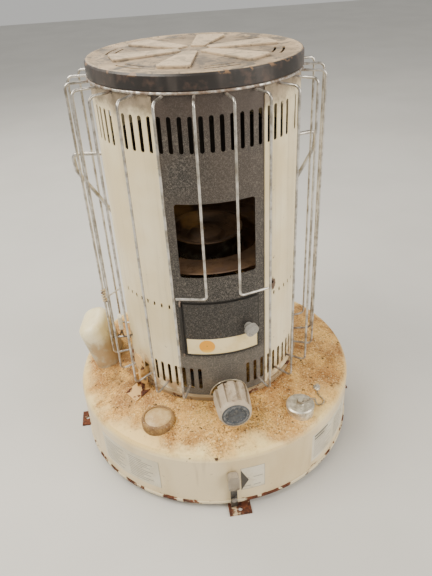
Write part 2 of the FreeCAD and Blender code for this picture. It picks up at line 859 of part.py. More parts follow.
def wick_knob():
    """Tapered knob with ten rounded flutes and a recess for its dark face."""
    body = new_body("wick_knob")
    length = num("knob_back - knob_front")
    back = num("knob_radius")
    front = num("knob_front_radius")
    turn(body, [
        ("shaft_radius", 0),
        (back - 2.5, 0),
        (back, 3),
        (back, 16),
        (front + 1, length - 7),
        (front - 1, length - 1.2),
        (front - 2.4, length),
        (20.2, length),
        (20.2, length - 4),
        ("shaft_radius", length - 4),
    ])
    flute = new_sketch(body, "XZ_Plane", "flute_profile")
    outline(flute, [
        (back + 6, -2),
        (back + 6, length - 5),
        (front + 1.2, length - 5),
        (front - 1.6, length - 9),
        (back - 4.6, 14),
        (back - 4.6, -2),
    ])
    groove = body.newObject("PartDesign::Groove", "wick_knob_flute")
    groove.Profile = flute
    groove.ReferenceAxis = (flute, ["V_Axis"])
    groove.Midplane = True
    groove.Angle = 15
    body.Tip = groove
    repeat(body, [groove], 10, 324, "flutes")
    place = Vector(num("adjuster_x"), num("knob_back"), num("adjuster_height"))
    body.Placement = Placement(place, Rotation(Vector(1, 0, 0), 90))


def knob_face():
    """Dark disc in the knob's front with a raised pointer."""
    length = num("knob_back - knob_front")
    body = turned("knob_face", [
        (0, length - 3.9),
        (20.0, length - 3.9),
        (20.0, length - 0.4),
        (19.0, length + 0.6),
        (15.4, length + 0.6),
        (14.8, length - 0.8),
        (11.2, length - 0.8),
        (10.8, length - 0.2),
        (0, length - 0.2),
    ])
    place = Vector(num("adjuster_x"), num("knob_back"), num("adjuster_height"))
    body.Placement = Placement(place, Rotation(Vector(1, 0, 0), 90))


def burner_screws():
    """Four screws that hold the wick guide's flange to the deck."""
    solids = []
    top = num("deck_height") + 1.8
    for index in range(4):
        spot = polar(45 + 90 * index, num("mouth_radius") + 9, top)
        stem = Part.makeCylinder(2.0, 6.0, spot - Vector(0, 0, 5.5))
        head = Part.makeCylinder(4.0, 2.6, spot)
        solids.append(stem.fuse(head).removeSplitter())
    formed("burner_screws", solids)


def burner_base():
    """Draught ring that sits on the wick guide and carries the outer tube and the glass."""
    turned("burner_base", [
        ("guide_radius + 0.3", "guide_top - 6"),
        ("guide_radius + 1.5", "guide_top - 6"),
        ("guide_radius + 1.5", "guide_top"),
        ("glass_radius + 5", "guide_top"),
        ("glass_radius + 5", "guide_top + 7"),
        ("glass_radius + 4", "guide_top + 7"),
        ("glass_radius + 4", "guide_top + 1.2"),
        ("guide_inner_radius + 0.4", "guide_top + 1.2"),
        ("guide_inner_radius + 0.4", "guide_top"),
        ("guide_radius + 0.3", "guide_top"),
    ])


def flame_tube(label, profile, radius, low):
    """Perforated burner tube of a turned outline; rings of round holes stand one above the other."""
    body = turned(label, profile)
    first = num(low) + 14
    rows = 7
    step = (num("flame_top") - first - 10) / (rows - 1)
    holes = pocket(body, "YZ_Plane", lambda sketch: [
        ring(sketch, 0, first + step * index, 2.2) for index in range(rows)], num(radius) + 10, name="holes")
    repeat(body, [holes], 16, 337.5, "hole_rings")


def flame_tubes():
    """Inner tube on the air tube's end and outer tube on the burner's base."""
    flame_tube("flame_tube_inner", [
        ("flame_inner_radius - 0.8", "guide_top"),
        ("air_tube_radius", "guide_top"),
        ("air_tube_radius", "guide_top + 1"),
        ("flame_inner_radius", "guide_top + 1"),
        ("flame_inner_radius", "flame_top"),
        ("flame_inner_radius - 0.8", "flame_top"),
    ], "flame_inner_radius", "guide_top")
    flame_tube("flame_tube_outer", [
        ("flame_outer_radius - 0.8", "guide_top + 1.2"),
        ("flame_outer_radius", "guide_top + 1.2"),
        ("flame_outer_radius", "flame_top"),
        ("flame_outer_radius - 0.8", "flame_top"),
    ], "flame_outer_radius", "guide_top")


def burner_cap():
    """Dished spreader with a rolled rim that rests on the burner's tubes and covers the glass."""
    turned("burner_cap", [
        (0, "flame_top"),
        ("flame_outer_radius + 1", "flame_top"),
        ("glass_radius - 3.4", "glass_top"),
        ("glass_radius + 2", "glass_top"),
        ("glass_radius + 3", "glass_top + 1.5"),
        ("glass_radius + 2", "glass_top + 3"),
        ("glass_radius - 4.4", "glass_top + 1.4"),
        ("flame_outer_radius + 0.2", "flame_top + 1.2"),
        (30, "flame_top + 1.2"),
        (24, "flame_top + 6.5"),
        (10, "flame_top + 9"),
        (0, "flame_top + 9"),
    ])


def glass_chimney():
    """Outer glass of the burner."""
    turned("glass_chimney", [
        ("glass_radius - glass_wall", "guide_top + 1.2"),
        ("glass_radius", "guide_top + 1.2"),
        ("glass_radius", "glass_top"),
        ("glass_radius - glass_wall", "glass_top"),
    ])


# ---------------------------------------------------------------- igniter

def igniter_bracket():
    """Bent plate on the deck with two ears for the igniter's pivot."""
    place = on_deck("igniter_azimuth", 159)
    level = around("igniter_azimuth", "igniter_pivot_radius", 0)
    plate = block("bracket_plate", 30, 28, 2.0, place)
    ears = []
    for side in (-1, 1):
        foot = num("deck_height") - 0.6
        height = num("igniter_pivot_height") + 5 - foot
        ears.append(block(f"bracket_ear_{side + 1}", 12, 2, height, level.multiply(
            Placement(Vector(1.5, side * 7.0, foot), Rotation()))))
    hole = rod("bracket_hole", 1.95, 24, level.multiply(
        Placement(Vector(0, 12, num("igniter_pivot_height")), Rotation(Vector(1, 0, 0), 90))))
    solid = fuse("bracket_solid", [plate] + ears)
    kept(cut("igniter_bracket", solid, hole), "igniter_bracket")


def igniter_pin():
    """Pivot pin through the bracket's ears."""
    level = around("igniter_azimuth", "igniter_pivot_radius", "igniter_pivot_height")
    kept(rod("igniter_pin", 1.9, 20, level.multiply(
        Placement(Vector(0, 10, 0), Rotation(Vector(1, 0, 0), 90)))), "igniter_pin")


def igniter_lever():
    """Lever with a round finger tab outside the cabinet and an arm that carries the coil inside."""
    body = new_body("igniter_lever")
    pivot = num("igniter_pivot_radius")
    height = num("igniter_pivot_height")
    pad(body, "XZ_Plane", lambda sketch: outline(sketch, [
        (80, height + 7),
        (pivot - 14, height + 7),
        (pivot - 6, height - 4.5),
        (pivot + 4.5, height - 4.5),
        (pivot + 4.5, height + 6),
        (pivot + 2.2, height + 24),
        (pivot - 0.2, height + 24),
        (pivot - 2, height + 7),
        (pivot - 7, height + 12),
        (82.5, height + 12),
        (68, height + 50),
        (63, height + 50),
        (63, height + 44),
    ]), 6, both=True, name="arm")
    pocket(body, "XZ_Plane", lambda sketch: ring(sketch, pivot, height, 1.96), 20, both=True, name="pivot_hole")
    pad(body, "YZ_Plane", lambda sketch: slot(sketch, 0, height + 27, height + 35, 10.5), 2.4, name="tab",
        offset=pivot - 0.2)
    body.Placement = around("igniter_azimuth")


def igniter_coil():
    """Coil head on the end of the lever's arm, above the wick."""
    level = num("igniter_pivot_height") + 47
    inward = Rotation(Vector(0, 1, 0), -90)
    base = around("igniter_azimuth")
    holder = rod("coil_holder", 4.0, 6, base.multiply(Placement(Vector(63, 0, level), inward)))
    core = rod("coil_core", 2.6, 13, base.multiply(Placement(Vector(63, 0, level), inward)))
    kept(fuse("igniter_coil", [holder, core]), "igniter_coil")


# ---------------------------------------------------------------- battery case

def battery_shell():
    """Hollow moulding of the whole battery case, before it is parted into case and lid."""
    place = on_deck("battery_azimuth", "battery_radius")
    outer = blank(new_body("battery_outer"))
    pad(outer, "XY_Plane", lambda sketch: rounded_rectangle(
        sketch, 0, 0, "battery_width / 2", "battery_length / 2", 19), "battery_top + 12", name="shell",
        offset=-12)
    doc.recompute()
    crown = doc.addObject("Part::Fillet", "battery_crown")
    crown.Base = outer
    crown.Edges = [(index, 13, 13) for index, edge in enumerate(outer.Shape.Edges, start=1)
                   if edge.BoundBox.ZMin > num("battery_top") - 0.1]
    inner = blank(new_body("battery_inner"))
    pad(inner, "XY_Plane", lambda sketch: rounded_rectangle(
        sketch, 0, 0, "battery_width / 2 - battery_wall", "battery_length / 2 - battery_wall", 16.8),
        "battery_top - battery_wall - 8", name="hollow", offset=3)
    outer.Placement = place
    inner.Placement = place
    return cut("battery_shell", crown, inner), place


def battery_box():
    """Case on the deck, its lift-off lid and the two upright cells."""
    shell, place = battery_shell()
    above = block("battery_above", 80, 100, 80, place.multiply(
        Placement(Vector(0, 0, num("battery_split")), Rotation())))
    below = block("battery_below", 80, 100, 100, place.multiply(
        Placement(Vector(0, 0, num("battery_split") - 99.6), Rotation())))
    slope = doc.addObject("Part::Cone", "deck_slope_cut")
    bind(slope, "Radius1", "shoulder_radius")
    bind(slope, "Radius2", "deck_radius")
    bind(slope, "Height", "deck_height - shoulder_height")
    slope.Placement = at(0, 0, "shoulder_height")
    under = rod("deck_under_cut", 240, "shoulder_height - 90", at(0, 0, 90))
    kept(cut("battery_case", shell, fuse("battery_case_cuts", [above, slope, under])), "battery_case")
    kept(cut("battery_lid", shell, below), "battery_lid")
    cells = []
    upward = place.Rotation.multVec(Vector(0, 0, 1))
    for side in (-1, 1):
        foot = place.multVec(Vector(0, side * 17, 3.3))
        can = Part.makeCylinder(16.5, 59, foot, upward)
        cells.append(can.fuse(Part.makeCylinder(4.5, 61, foot, upward)).removeSplitter())
    formed("battery_cells", cells)


def igniter_leads():
    """Insulated leads from the battery case to a plug-in connector and on through the side panel."""
    supply = [
        polar(-93.5, 171.8, 168),
        polar(-92, 160, 173),
        polar(-88, 151, 186),
        polar(-85.8, 150, 204),
    ]
    feed = [
        polar(-82.6, 150, 204),
        polar(-82.2, 150, 196),
        polar(-79, 147, 193),
        polar(-77, 133, 201),
        polar(-74, 122, 190),
        polar(-70, 118, 168),
    ]
    spot = around(-84.2, 150, 204)
    shell = Part.makeBox(7, 13, 24)
    shell.Placement = spot.multiply(Placement(Vector(-3.5, -6.5, 0), Rotation()))
    formed("igniter_leads", [bent_wire(supply, 4.5, 1.3), bent_wire(feed, 4.0, 1.3), shell])


# ---------------------------------------------------------------- cabinet

def slots(body, first, count, low, high, name, centre=0.0, radius="slot_radius"):
    """A row of upright slots through a panel, counted in slot pitches from the front of the heater."""
    pitch = num("slot_pitch")
    cutter = pocket(body, "YZ_Plane", lambda sketch: slot(sketch, 0, low, high, radius), 200,
                    name=name, azimuth=first * pitch - num(centre))
    if count > 1:
        repeat(body, [cutter], count, (count - 1) * pitch, name + "_row")


def panel(label, angle, azimuth):
    """A curved sheet of the cabinet."""
    body = turned(label, [
        ("casing_radius - casing_sheet", "casing_foot"),
        ("casing_radius", "casing_foot"),
        ("casing_radius", "casing_top"),
        ("casing_radius - casing_sheet", "casing_top"),
    ], angle)
    body.Placement = around(azimuth)
    return body


def slot_centres(row):
    """Centres of the round ends of a row's slots."""
    return f"{row}_slot_low + slot_radius", f"{row}_slot_high - slot_radius"


def front_panel():
    """Dark front with the viewing window, the door's opening and the arch over the knob's shaft."""
    body = panel("front_panel", "2 * front_half_angle", 0)
    slots(body, -5, 11, *slot_centres("upper"), "upper")
    slots(body, -5, 3, *slot_centres("lower"), "lower_left")
    slots(body, 3, 3, *slot_centres("lower"), "lower_right")
    pocket(body, "YZ_Plane", lambda sketch: rounded_rectangle(
        sketch, 0, "(window_low + window_high) / 2", "window_half_width",
        "(window_high - window_low) / 2", 4), 200, name="window")
    pocket(body, "YZ_Plane", lambda sketch: rounded_rectangle(
        sketch, 0, "(door_low + door_high) / 2", 49.5, "(door_high - door_low) / 2 - 4", 3), 200,
        name="doorway")
    pocket(body, "YZ_Plane", lambda sketch: ring(sketch, "adjuster_x", "casing_foot", 28), 200, name="arch")


def side_panel(label, azimuth, mirror):
    """Cream side with five groups of upper slots, lower slots, vent holes and a raised front edge."""
    body = panel(label, "180 - 2 * front_half_angle", azimuth)
    edge = mirror * (num("front_half_angle") + 0.8) - azimuth
    turn(body, [
        ("casing_radius - 0.5", "casing_foot"),
        ("casing_radius + 1.8", "casing_foot"),
        ("casing_radius + 1.8", "lid_low - 6"),
        ("casing_radius - 0.5", "lid_low - 6"),
    ], 1.6, name="raised_edge", azimuth=edge)
    for group in range(5):
        first = 6 + 5 * group
        start = first if mirror > 0 else -(first + 3)
        slots(body, start, 4, *slot_centres("upper"), f"upper_{group}", azimuth)
    if mirror > 0:
        slots(body, 6, 24, *slot_centres("lower"), "lower", azimuth)
        slots(body, 7, 5, 299, 303, "vents", azimuth, 1.5)
        pocket(body, "YZ_Plane", lambda sketch: ring(sketch, 0, 320, 2.4), 200, name="chip",
               azimuth=34.5 - azimuth)
    else:
        slots(body, -9, 4, *slot_centres("lower"), "lower_front", azimuth)
        slots(body, -29, 13, *slot_centres("lower"), "lower_back", azimuth)
        slots(body, -13, 8, 300, 304, "vents", azimuth, 1.5)
        pocket(body, "YZ_Plane", lambda sketch: outline(sketch, [
            (-6, 148),
            (6, 148),
            (6, 174),
            (-6, 174),
        ]), 200, name="igniter_opening", azimuth=num("igniter_azimuth") - azimuth)
        pocket(body, "YZ_Plane", lambda sketch: outline(sketch, [
            (-6, 195),
            (6, 195),
            (6, 208),
            (-6, 208),
        ]), 200, name="lead_opening", azimuth=-77 - azimuth)


def back_panel():
    """Cream back with the same slots as the front."""
    body = panel("back_panel", "2 * front_half_angle", 180)
    slots(body, 30, 11, *slot_centres("upper"), "upper", 180)
    slots(body, 30, 11, *slot_centres("lower"), "lower", 180)


def cabinet_base_ring():
    """Rolled ring on the deck that carries the cabinet's panels."""
    turned("cabinet_base_ring", [
        ("casing_radius - 4", "deck_height"),
        ("casing_radius + 1", "deck_height"),
        ("casing_radius + 1", "casing_foot - 4.5"),
        ("casing_radius + 3.2", "casing_foot - 3.5"),
        ("casing_radius + 3.8", "casing_foot - 1"),
        ("casing_radius + 3", "casing_foot + 1"),
        ("casing_radius + 0.2", "casing_foot + 1.4"),
        ("casing_radius + 0.2", "casing_foot"),
        ("casing_radius - 4", "casing_foot"),
    ])


def top_plate():
    """Pressed lid with a six-armed raised star and pairs of arc slots between its arms."""
    body = turned("top_plate", [
        (0, "lid_high - lid_sheet"),
        (0, "lid_high"),
        ("lid_radius - 14", "lid_high - 1.6"),
        ("lid_radius - 9", "lid_high - 1.2"),
        ("lid_radius - 4", "lid_high"),
        ("lid_radius - 1.5", "lid_high - 0.7"),
        ("lid_radius", "lid_high - 3"),
        ("lid_radius", "lid_low"),
        ("lid_radius - 1.5", "lid_low"),
        ("lid_radius - 1.5", "lid_high - 3.6"),
        ("lid_radius - 4.2", "lid_high - lid_sheet"),
        ("lid_radius - 9", "lid_high - 1.2 - lid_sheet"),
        ("lid_radius - 14", "lid_high - 1.6 - lid_sheet"),
    ])
    arm = pad(body, "XY_Plane", lambda sketch: outline(sketch, [
        (20, -9),
        (103, -20),
        (108, -17),
        (108, 17),
        (103, 20),
        (20, 9),
    ]), "star_rise + 1.8", name="star_arm", offset="lid_high - 1.8")
    repeat(body, [arm], 6, 300, "star")
    cuts = []
    for index, radius in enumerate((103, 114)):
        groove = turn(body, [
            (radius - 1.6, "lid_high - 6"),
            (radius + 1.6, "lid_high - 6"),
            (radius + 1.6, "lid_high + 4"),
            (radius - 1.6, "lid_high + 4"),
        ], 20 + 2 * index, "Groove", f"arc_slot_{index}", azimuth=30)
        cuts.append(groove)
    repeat(body, cuts, 6, 300, "arc_slots")
    body.Placement = around(-20)


def rear_reflector():
    """Heat shield behind the burner, and the shelf round the burner's top that it carries."""
    body = turned("rear_reflector", [
        ("casing_radius - 15", 215),
        ("casing_radius - casing_sheet", 215),
        ("casing_radius - casing_sheet", 216),
        ("casing_radius - 14", 216),
        ("casing_radius - 14", 499),
        ("casing_radius - casing_sheet", 499),
        ("casing_radius - casing_sheet", 500),
        ("casing_radius - 15", 500),
    ], 220)
    turn(body, [
        ("shelf_inner_radius", "shelf_height - 6"),
        ("shelf_inner_radius + 1", "shelf_height - 6"),
        ("shelf_inner_radius + 1", "shelf_height - 1"),
        ("casing_radius - 13", "shelf_height - 1"),
        ("casing_radius - 12", "shelf_height + 0.5"),
        ("casing_radius - 13", "shelf_height + 1.5"),
        ("casing_radius - 14.4", "shelf_height + 1"),
        ("casing_radius - 15.4", "shelf_height"),
        ("shelf_inner_radius + 1.5", "shelf_height"),
        ("shelf_inner_radius", "shelf_height - 1"),
    ], name="shelf")
    body.Placement = around(180)


def heat_baffle():
    """Shallow disc under the lid that spreads the rising heat, on three studs."""
    body = turned("heat_baffle", [
        (0, "lid_low - 16"),
        (70, "lid_low - 16"),
        (88, "lid_low - 10"),
        (88, "lid_low - 9"),
        (70, "lid_low - 15"),
        (0, "lid_low - 15"),
    ])
    stud = pad(body, "XY_Plane", lambda sketch: ring(sketch, 60, 0, 3), "lid_high - lid_low + 13.68",
               name="stud", offset="lid_low - 16")
    repeat(body, [stud], 3, 240, "studs")
    body.Placement = around(18)


# ---------------------------------------------------------------- door

def front_door():
    """Curved door with a rolled knuckle on its left edge and a hole for its knob."""
    body = turned("front_door", [
        ("door_inner_radius", "door_low"),
        ("door_inner_radius + door_sheet", "door_low"),
        ("door_inner_radius + door_sheet", "door_high"),
        ("door_inner_radius", "door_high"),
    ], "2 * door_half_angle")
    pocket(body, "YZ_Plane", lambda sketch: ring(sketch, 0, DOOR_KNOB_HEIGHT, 2.56), 200, name="knob_hole",
           azimuth=DOOR_KNOB_AZIMUTH)
    blank(body)
    body.Placement = around(0)
    low = num("door_low") + 4
    long = num("door_high - door_low") - 8
    hinge = polar(HINGE_AZIMUTH, HINGE_RADIUS, low)
    knuckle = rod("door_knuckle", 2.3, long, Placement(hinge, Rotation()))
    web = block("door_web", 1.2, 3.2, long, around(HINGE_AZIMUTH + 0.8, HINGE_RADIUS - 1.4, low))
    bore = rod("door_knuckle_bore", 1.26, long + 20, Placement(hinge - Vector(0, 0, 10), Rotation()))
    kept(cut("front_door", fuse("door_solid", [body, knuckle, web]), bore), "front_door")


def door_hinge_pin():
    """Wire pin through the door's knuckle, bent into the front panel at both ends."""
    low = num("door_low") - 2
    high = num("door_high") + 2
    inner = num("casing_radius") - 1.0
    points = [
        polar(HINGE_AZIMUTH, inner, low),
        polar(HINGE_AZIMUTH, HINGE_RADIUS, low),
        polar(HINGE_AZIMUTH, HINGE_RADIUS, high),
        polar(HINGE_AZIMUTH, inner, high),
    ]
    formed("door_hinge_pin", [bent_wire(points, 1.6, 1.2).cut(cabinet())])


def door_knob():
    """Wing knob with its spindle through the door and a latch tongue behind it."""
    place = around(DOOR_KNOB_AZIMUTH, 0, DOOR_KNOB_HEIGHT)
    outward = Rotation(Vector(0, 1, 0), 90)
    face = num("door_inner_radius + door_sheet")

    def out(name, radius, start, length):
        """A round stretch of the knob along its own axis."""
        return rod(name, radius, length, place.multiply(Placement(Vector(start, 0, 0), outward)))

    spindle = out("knob_spindle", 2.5, 132.2, face - 132.2 + 3)
    collar = out("knob_collar", 6.2, face + 0.4, 3)
    stem = out("knob_stem", 4.6, face + 3, 7)
    wing = []
    for side in (-1, 1):
        lobe = place.multiply(Placement(Vector(face + 8, side * 2.2, side * 1.2), outward))
        wing.append(rod(f"knob_lobe_{side + 1}", 7.4, 7.5, lobe))
    tongue = block("knob_tongue", 1.2, 7, 20, place.multiply(Placement(Vector(133, 0, -3.5), Rotation())))
    kept(fuse("door_knob", [spindle, collar, stem, tongue] + wing), "door_knob")


# ---------------------------------------------------------------- guard and handles

def cabinet():
    """The cabinet's full outline, which trims what is welded to its face."""
    return Part.makeCylinder(num("casing_radius"), num("casing_top"))


def guard():
    """Wire cage: a ring under the lid, upright wires all round and two short ones over the door."""
    ring_level = num("guard_high") + 2 * num("guard_wire_radius") - 0.1
    hoop = doc.addObject("Part::Torus", "guard_ring")
    bind(hoop, "Radius1", "guard_ring_radius")
    bind(hoop, "Radius2", "guard_wire_radius")
    hoop.Placement = at(0, 0, ring_level)
    kept(hoop, "guard_ring")
    reach = num("guard_radius")
    inner = num("casing_radius") - 0.6
    high = num("guard_high")
    low = num("guard_low")
    thick = num("guard_wire_radius")
    step = num("guard_step")
    for label, side in (("guard_wires_left", -1), ("guard_wires_right", 1)):
        wires = []
        for index in range(1, 12):
            azimuth = side * (index + 0.5) * step
            points = [
                polar(azimuth, inner, high),
                polar(azimuth, reach, high),
                polar(azimuth, reach, low),
                polar(azimuth, inner, low),
            ]
            wires.append(bent_wire(points, 7.0, thick).cut(cabinet()))
        formed(label, wires)
    short = []
    stop = num("guard_front_low")
    for side in (-1, 1):
        points = [
            polar(side * 0.5 * step, inner, high),
            polar(side * 0.5 * step, reach, high),
            polar(side * 0.5 * step, reach, stop),
            polar(side * (1.5 * step - 1.1), reach, stop),
        ]
        short.append(bent_wire(points, 5.0, thick).cut(cabinet()))
    formed("guard_front_wires", short)


def side_handles():
    """Thick wire carrying loops that reach out through the guard on both sides."""
    inner = num("casing_radius") - 0.6
    reach = num("handle_reach")
    high = num("handle_high")
    thick = num("handle_wire_radius")
    for label, side in (("side_handle_left", -1), ("side_handle_right", 1)):
        azimuth = side * num("handle_azimuth")
        points = [
            polar(azimuth, inner, high),
            polar(azimuth, reach, high),
            polar(azimuth, reach - 2, high - 26),
            polar(azimuth, inner, num("handle_low") - 8),
        ]
        loop = bent_wire(points, 8.0, thick).cut(cabinet())
        outward = polar(azimuth, 1, 0)
        for level in (high, num("handle_low") - 8):
            seat = polar(azimuth, num("casing_radius") - 0.1, level)
            loop = loop.fuse(Part.makeCylinder(6.5, 1.6, seat, outward).cut(cabinet()))
        formed(label, [loop.removeSplitter()])


# ---------------------------------------------------------------- shut-off lever

def shutoff_lever():
    """Flat lever on the front of the tank, its grey cap and the rivet that it swings on."""
    body = new_body("shutoff_lever")
    half = num("lever_width") / 2
    pad(body, "XZ_Plane", lambda sketch: outline(sketch, [
        (-half, 6),
        (half, 6),
        (half, "lever_cap_low + 17"),
        (-half, "lever_cap_low + 17"),
    ]), 2, name="strip")
    pocket(body, "XZ_Plane", lambda sketch: ring(sketch, 0, "lever_pivot_height", 2.56), 6, both=True,
           name="rivet_hole")
    body.Placement = Placement(Vector(num("lever_x"), -num("seam_radius") - 1.6, 0), Rotation())
    face = num("seam_radius") + 1.6
    cap = new_body("shutoff_cap")
    pad(cap, "XZ_Plane", lambda sketch: outline(sketch, [
        (-8, "lever_cap_low + 2"),
        (-6, "lever_cap_low"),
        (6, "lever_cap_low"),
        (8, "lever_cap_low + 2"),
        (8, "lever_cap_high - 4"),
        (5, "lever_cap_high"),
        (-5, "lever_cap_high"),
        (-8, "lever_cap_high - 4"),
    ]), 11, name="cap")
    pocket(cap, "XZ_Plane", lambda sketch: outline(sketch, [
        (-half, "lever_cap_low - 5"),
        (half, "lever_cap_low - 5"),
        (half, "lever_cap_low + 17"),
        (-half, "lever_cap_low + 17"),
    ]), 2, name="socket", offset=1.8)
    cap.Placement = Placement(Vector(num("lever_x"), -face + 1.8, 0), Rotation())
    shank = rod("rivet_shank", 2.5, face - num("base_radius") + 4.2,
                at("lever_x", -num("base_radius") - 0.2, "lever_pivot_height", (0, -1, 0)))
    head = rod("rivet_head", 4.6, 2, at("lever_x", -face - 2.4, "lever_pivot_height", (0, -1, 0)))
    kept(fuse("shutoff_pivot", [shank, head]), "shutoff_pivot")


# ---------------------------------------------------------------- main

def check_and_export():
    """Recompute, refuse any failed object or shape, and write one STEP file per node."""
    doc.recompute()
    for item in doc.Objects:
        if "Invalid" in item.State or "Error" in item.State:
            raise RuntimeError(f"{item.Label} did not recompute: {item.State}")
    os.makedirs("parts", exist_ok=True)
    for item in NODES:
        shape = item.Shape
        if shape.isNull() or not shape.isValid():
            raise RuntimeError(f"{item.Label} has no valid shape")
        shape.exportStep(f"parts/{item.Label}.step")
        print(f"{item.Label:22s} {shape.Volume:12.1f} mm3  {len(shape.Solids)} solid(s)")


def main():
    """Build every sub-part and write the files."""
    fill_sheet()
    fuel_tank_top()
    fuel_tank_bottom()
    feet()
    filler_neck()
    fuel_strainer()
    filler_cap()
    filler_cap_gasket()
    cap_chain()
    chain_anchor()
    gauge()
    gauge_float()
    wick_tubes()
    wick()
    wick_carrier()
    adjuster_shaft()
    adjuster_housing()
    tip_weight()
    wick_knob()
    knob_face()
    burner_screws()
    burner_base()
    flame_tubes()
    burner_cap()
    glass_chimney()
    igniter_bracket()
    igniter_pin()
    igniter_lever()
    igniter_coil()
    battery_box()
    igniter_leads()
    front_panel()
    side_panel("side_panel_right", 90, 1)
    side_panel("side_panel_left", -90, -1)
    back_panel()
    cabinet_base_ring()
    top_plate()
    rear_reflector()
    heat_baffle()
    front_door()
    door_hinge_pin()
    door_knob()
    guard()
    side_handles()
    shutoff_lever()
    check_and_export()


main()
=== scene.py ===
"""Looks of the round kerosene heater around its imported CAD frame. Metres, +Z up, front towards -Y."""

import math

import bmesh
import bpy
from mathutils import Matrix, Vector


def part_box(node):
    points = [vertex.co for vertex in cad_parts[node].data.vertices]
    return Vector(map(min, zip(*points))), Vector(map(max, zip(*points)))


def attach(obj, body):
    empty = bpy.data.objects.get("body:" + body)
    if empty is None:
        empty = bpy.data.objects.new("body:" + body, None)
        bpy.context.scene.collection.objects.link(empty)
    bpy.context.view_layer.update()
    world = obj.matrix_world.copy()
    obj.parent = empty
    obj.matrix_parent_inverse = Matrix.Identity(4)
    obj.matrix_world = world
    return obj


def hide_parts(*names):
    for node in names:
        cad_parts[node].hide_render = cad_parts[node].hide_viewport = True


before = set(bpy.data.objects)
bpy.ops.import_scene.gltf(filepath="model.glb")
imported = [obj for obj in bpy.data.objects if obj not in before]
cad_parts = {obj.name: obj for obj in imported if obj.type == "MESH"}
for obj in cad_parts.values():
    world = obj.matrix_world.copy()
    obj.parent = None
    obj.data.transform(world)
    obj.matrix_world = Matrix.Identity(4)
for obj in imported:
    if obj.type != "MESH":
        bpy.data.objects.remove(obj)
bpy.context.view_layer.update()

# Sizes that the looks share, read from the frame where it holds them.
TANK_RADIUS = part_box("fuel_tank_top")[1][0]
TANK_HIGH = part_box("fuel_tank_top")[1][2]
TANK_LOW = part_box("fuel_tank_top")[0][2]
CASING_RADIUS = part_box("back_panel")[1][1]
METRES_PER_DEGREE = CASING_RADIUS * math.pi / 180
CASING_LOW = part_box("front_panel")[0][2]
LID_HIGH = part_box("top_plate")[1][2]
LID_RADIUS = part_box("top_plate")[1][0]
DOOR_LOW, DOOR_HIGH = (corner[2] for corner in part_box("front_door"))
GUARD_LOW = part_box("guard_wires_left")[0][2]

# Sizes that the frame does not hold.
GUARD_RADIUS = 0.168  # to the middle of the guard's wires
DOOR_HALF_ANGLE = 22.5


# ---------------------------------------------------------------- colours and node helpers

def tint(code):
    """Linear colour from a hex code as a paint chart gives it."""
    parts = [int(code[index:index + 2], 16) / 255 for index in (0, 2, 4)]
    linear = [part / 12.92 if part <= 0.04045 else ((part + 0.055) / 1.055) ** 2.4 for part in parts]
    return (*linear, 1.0)


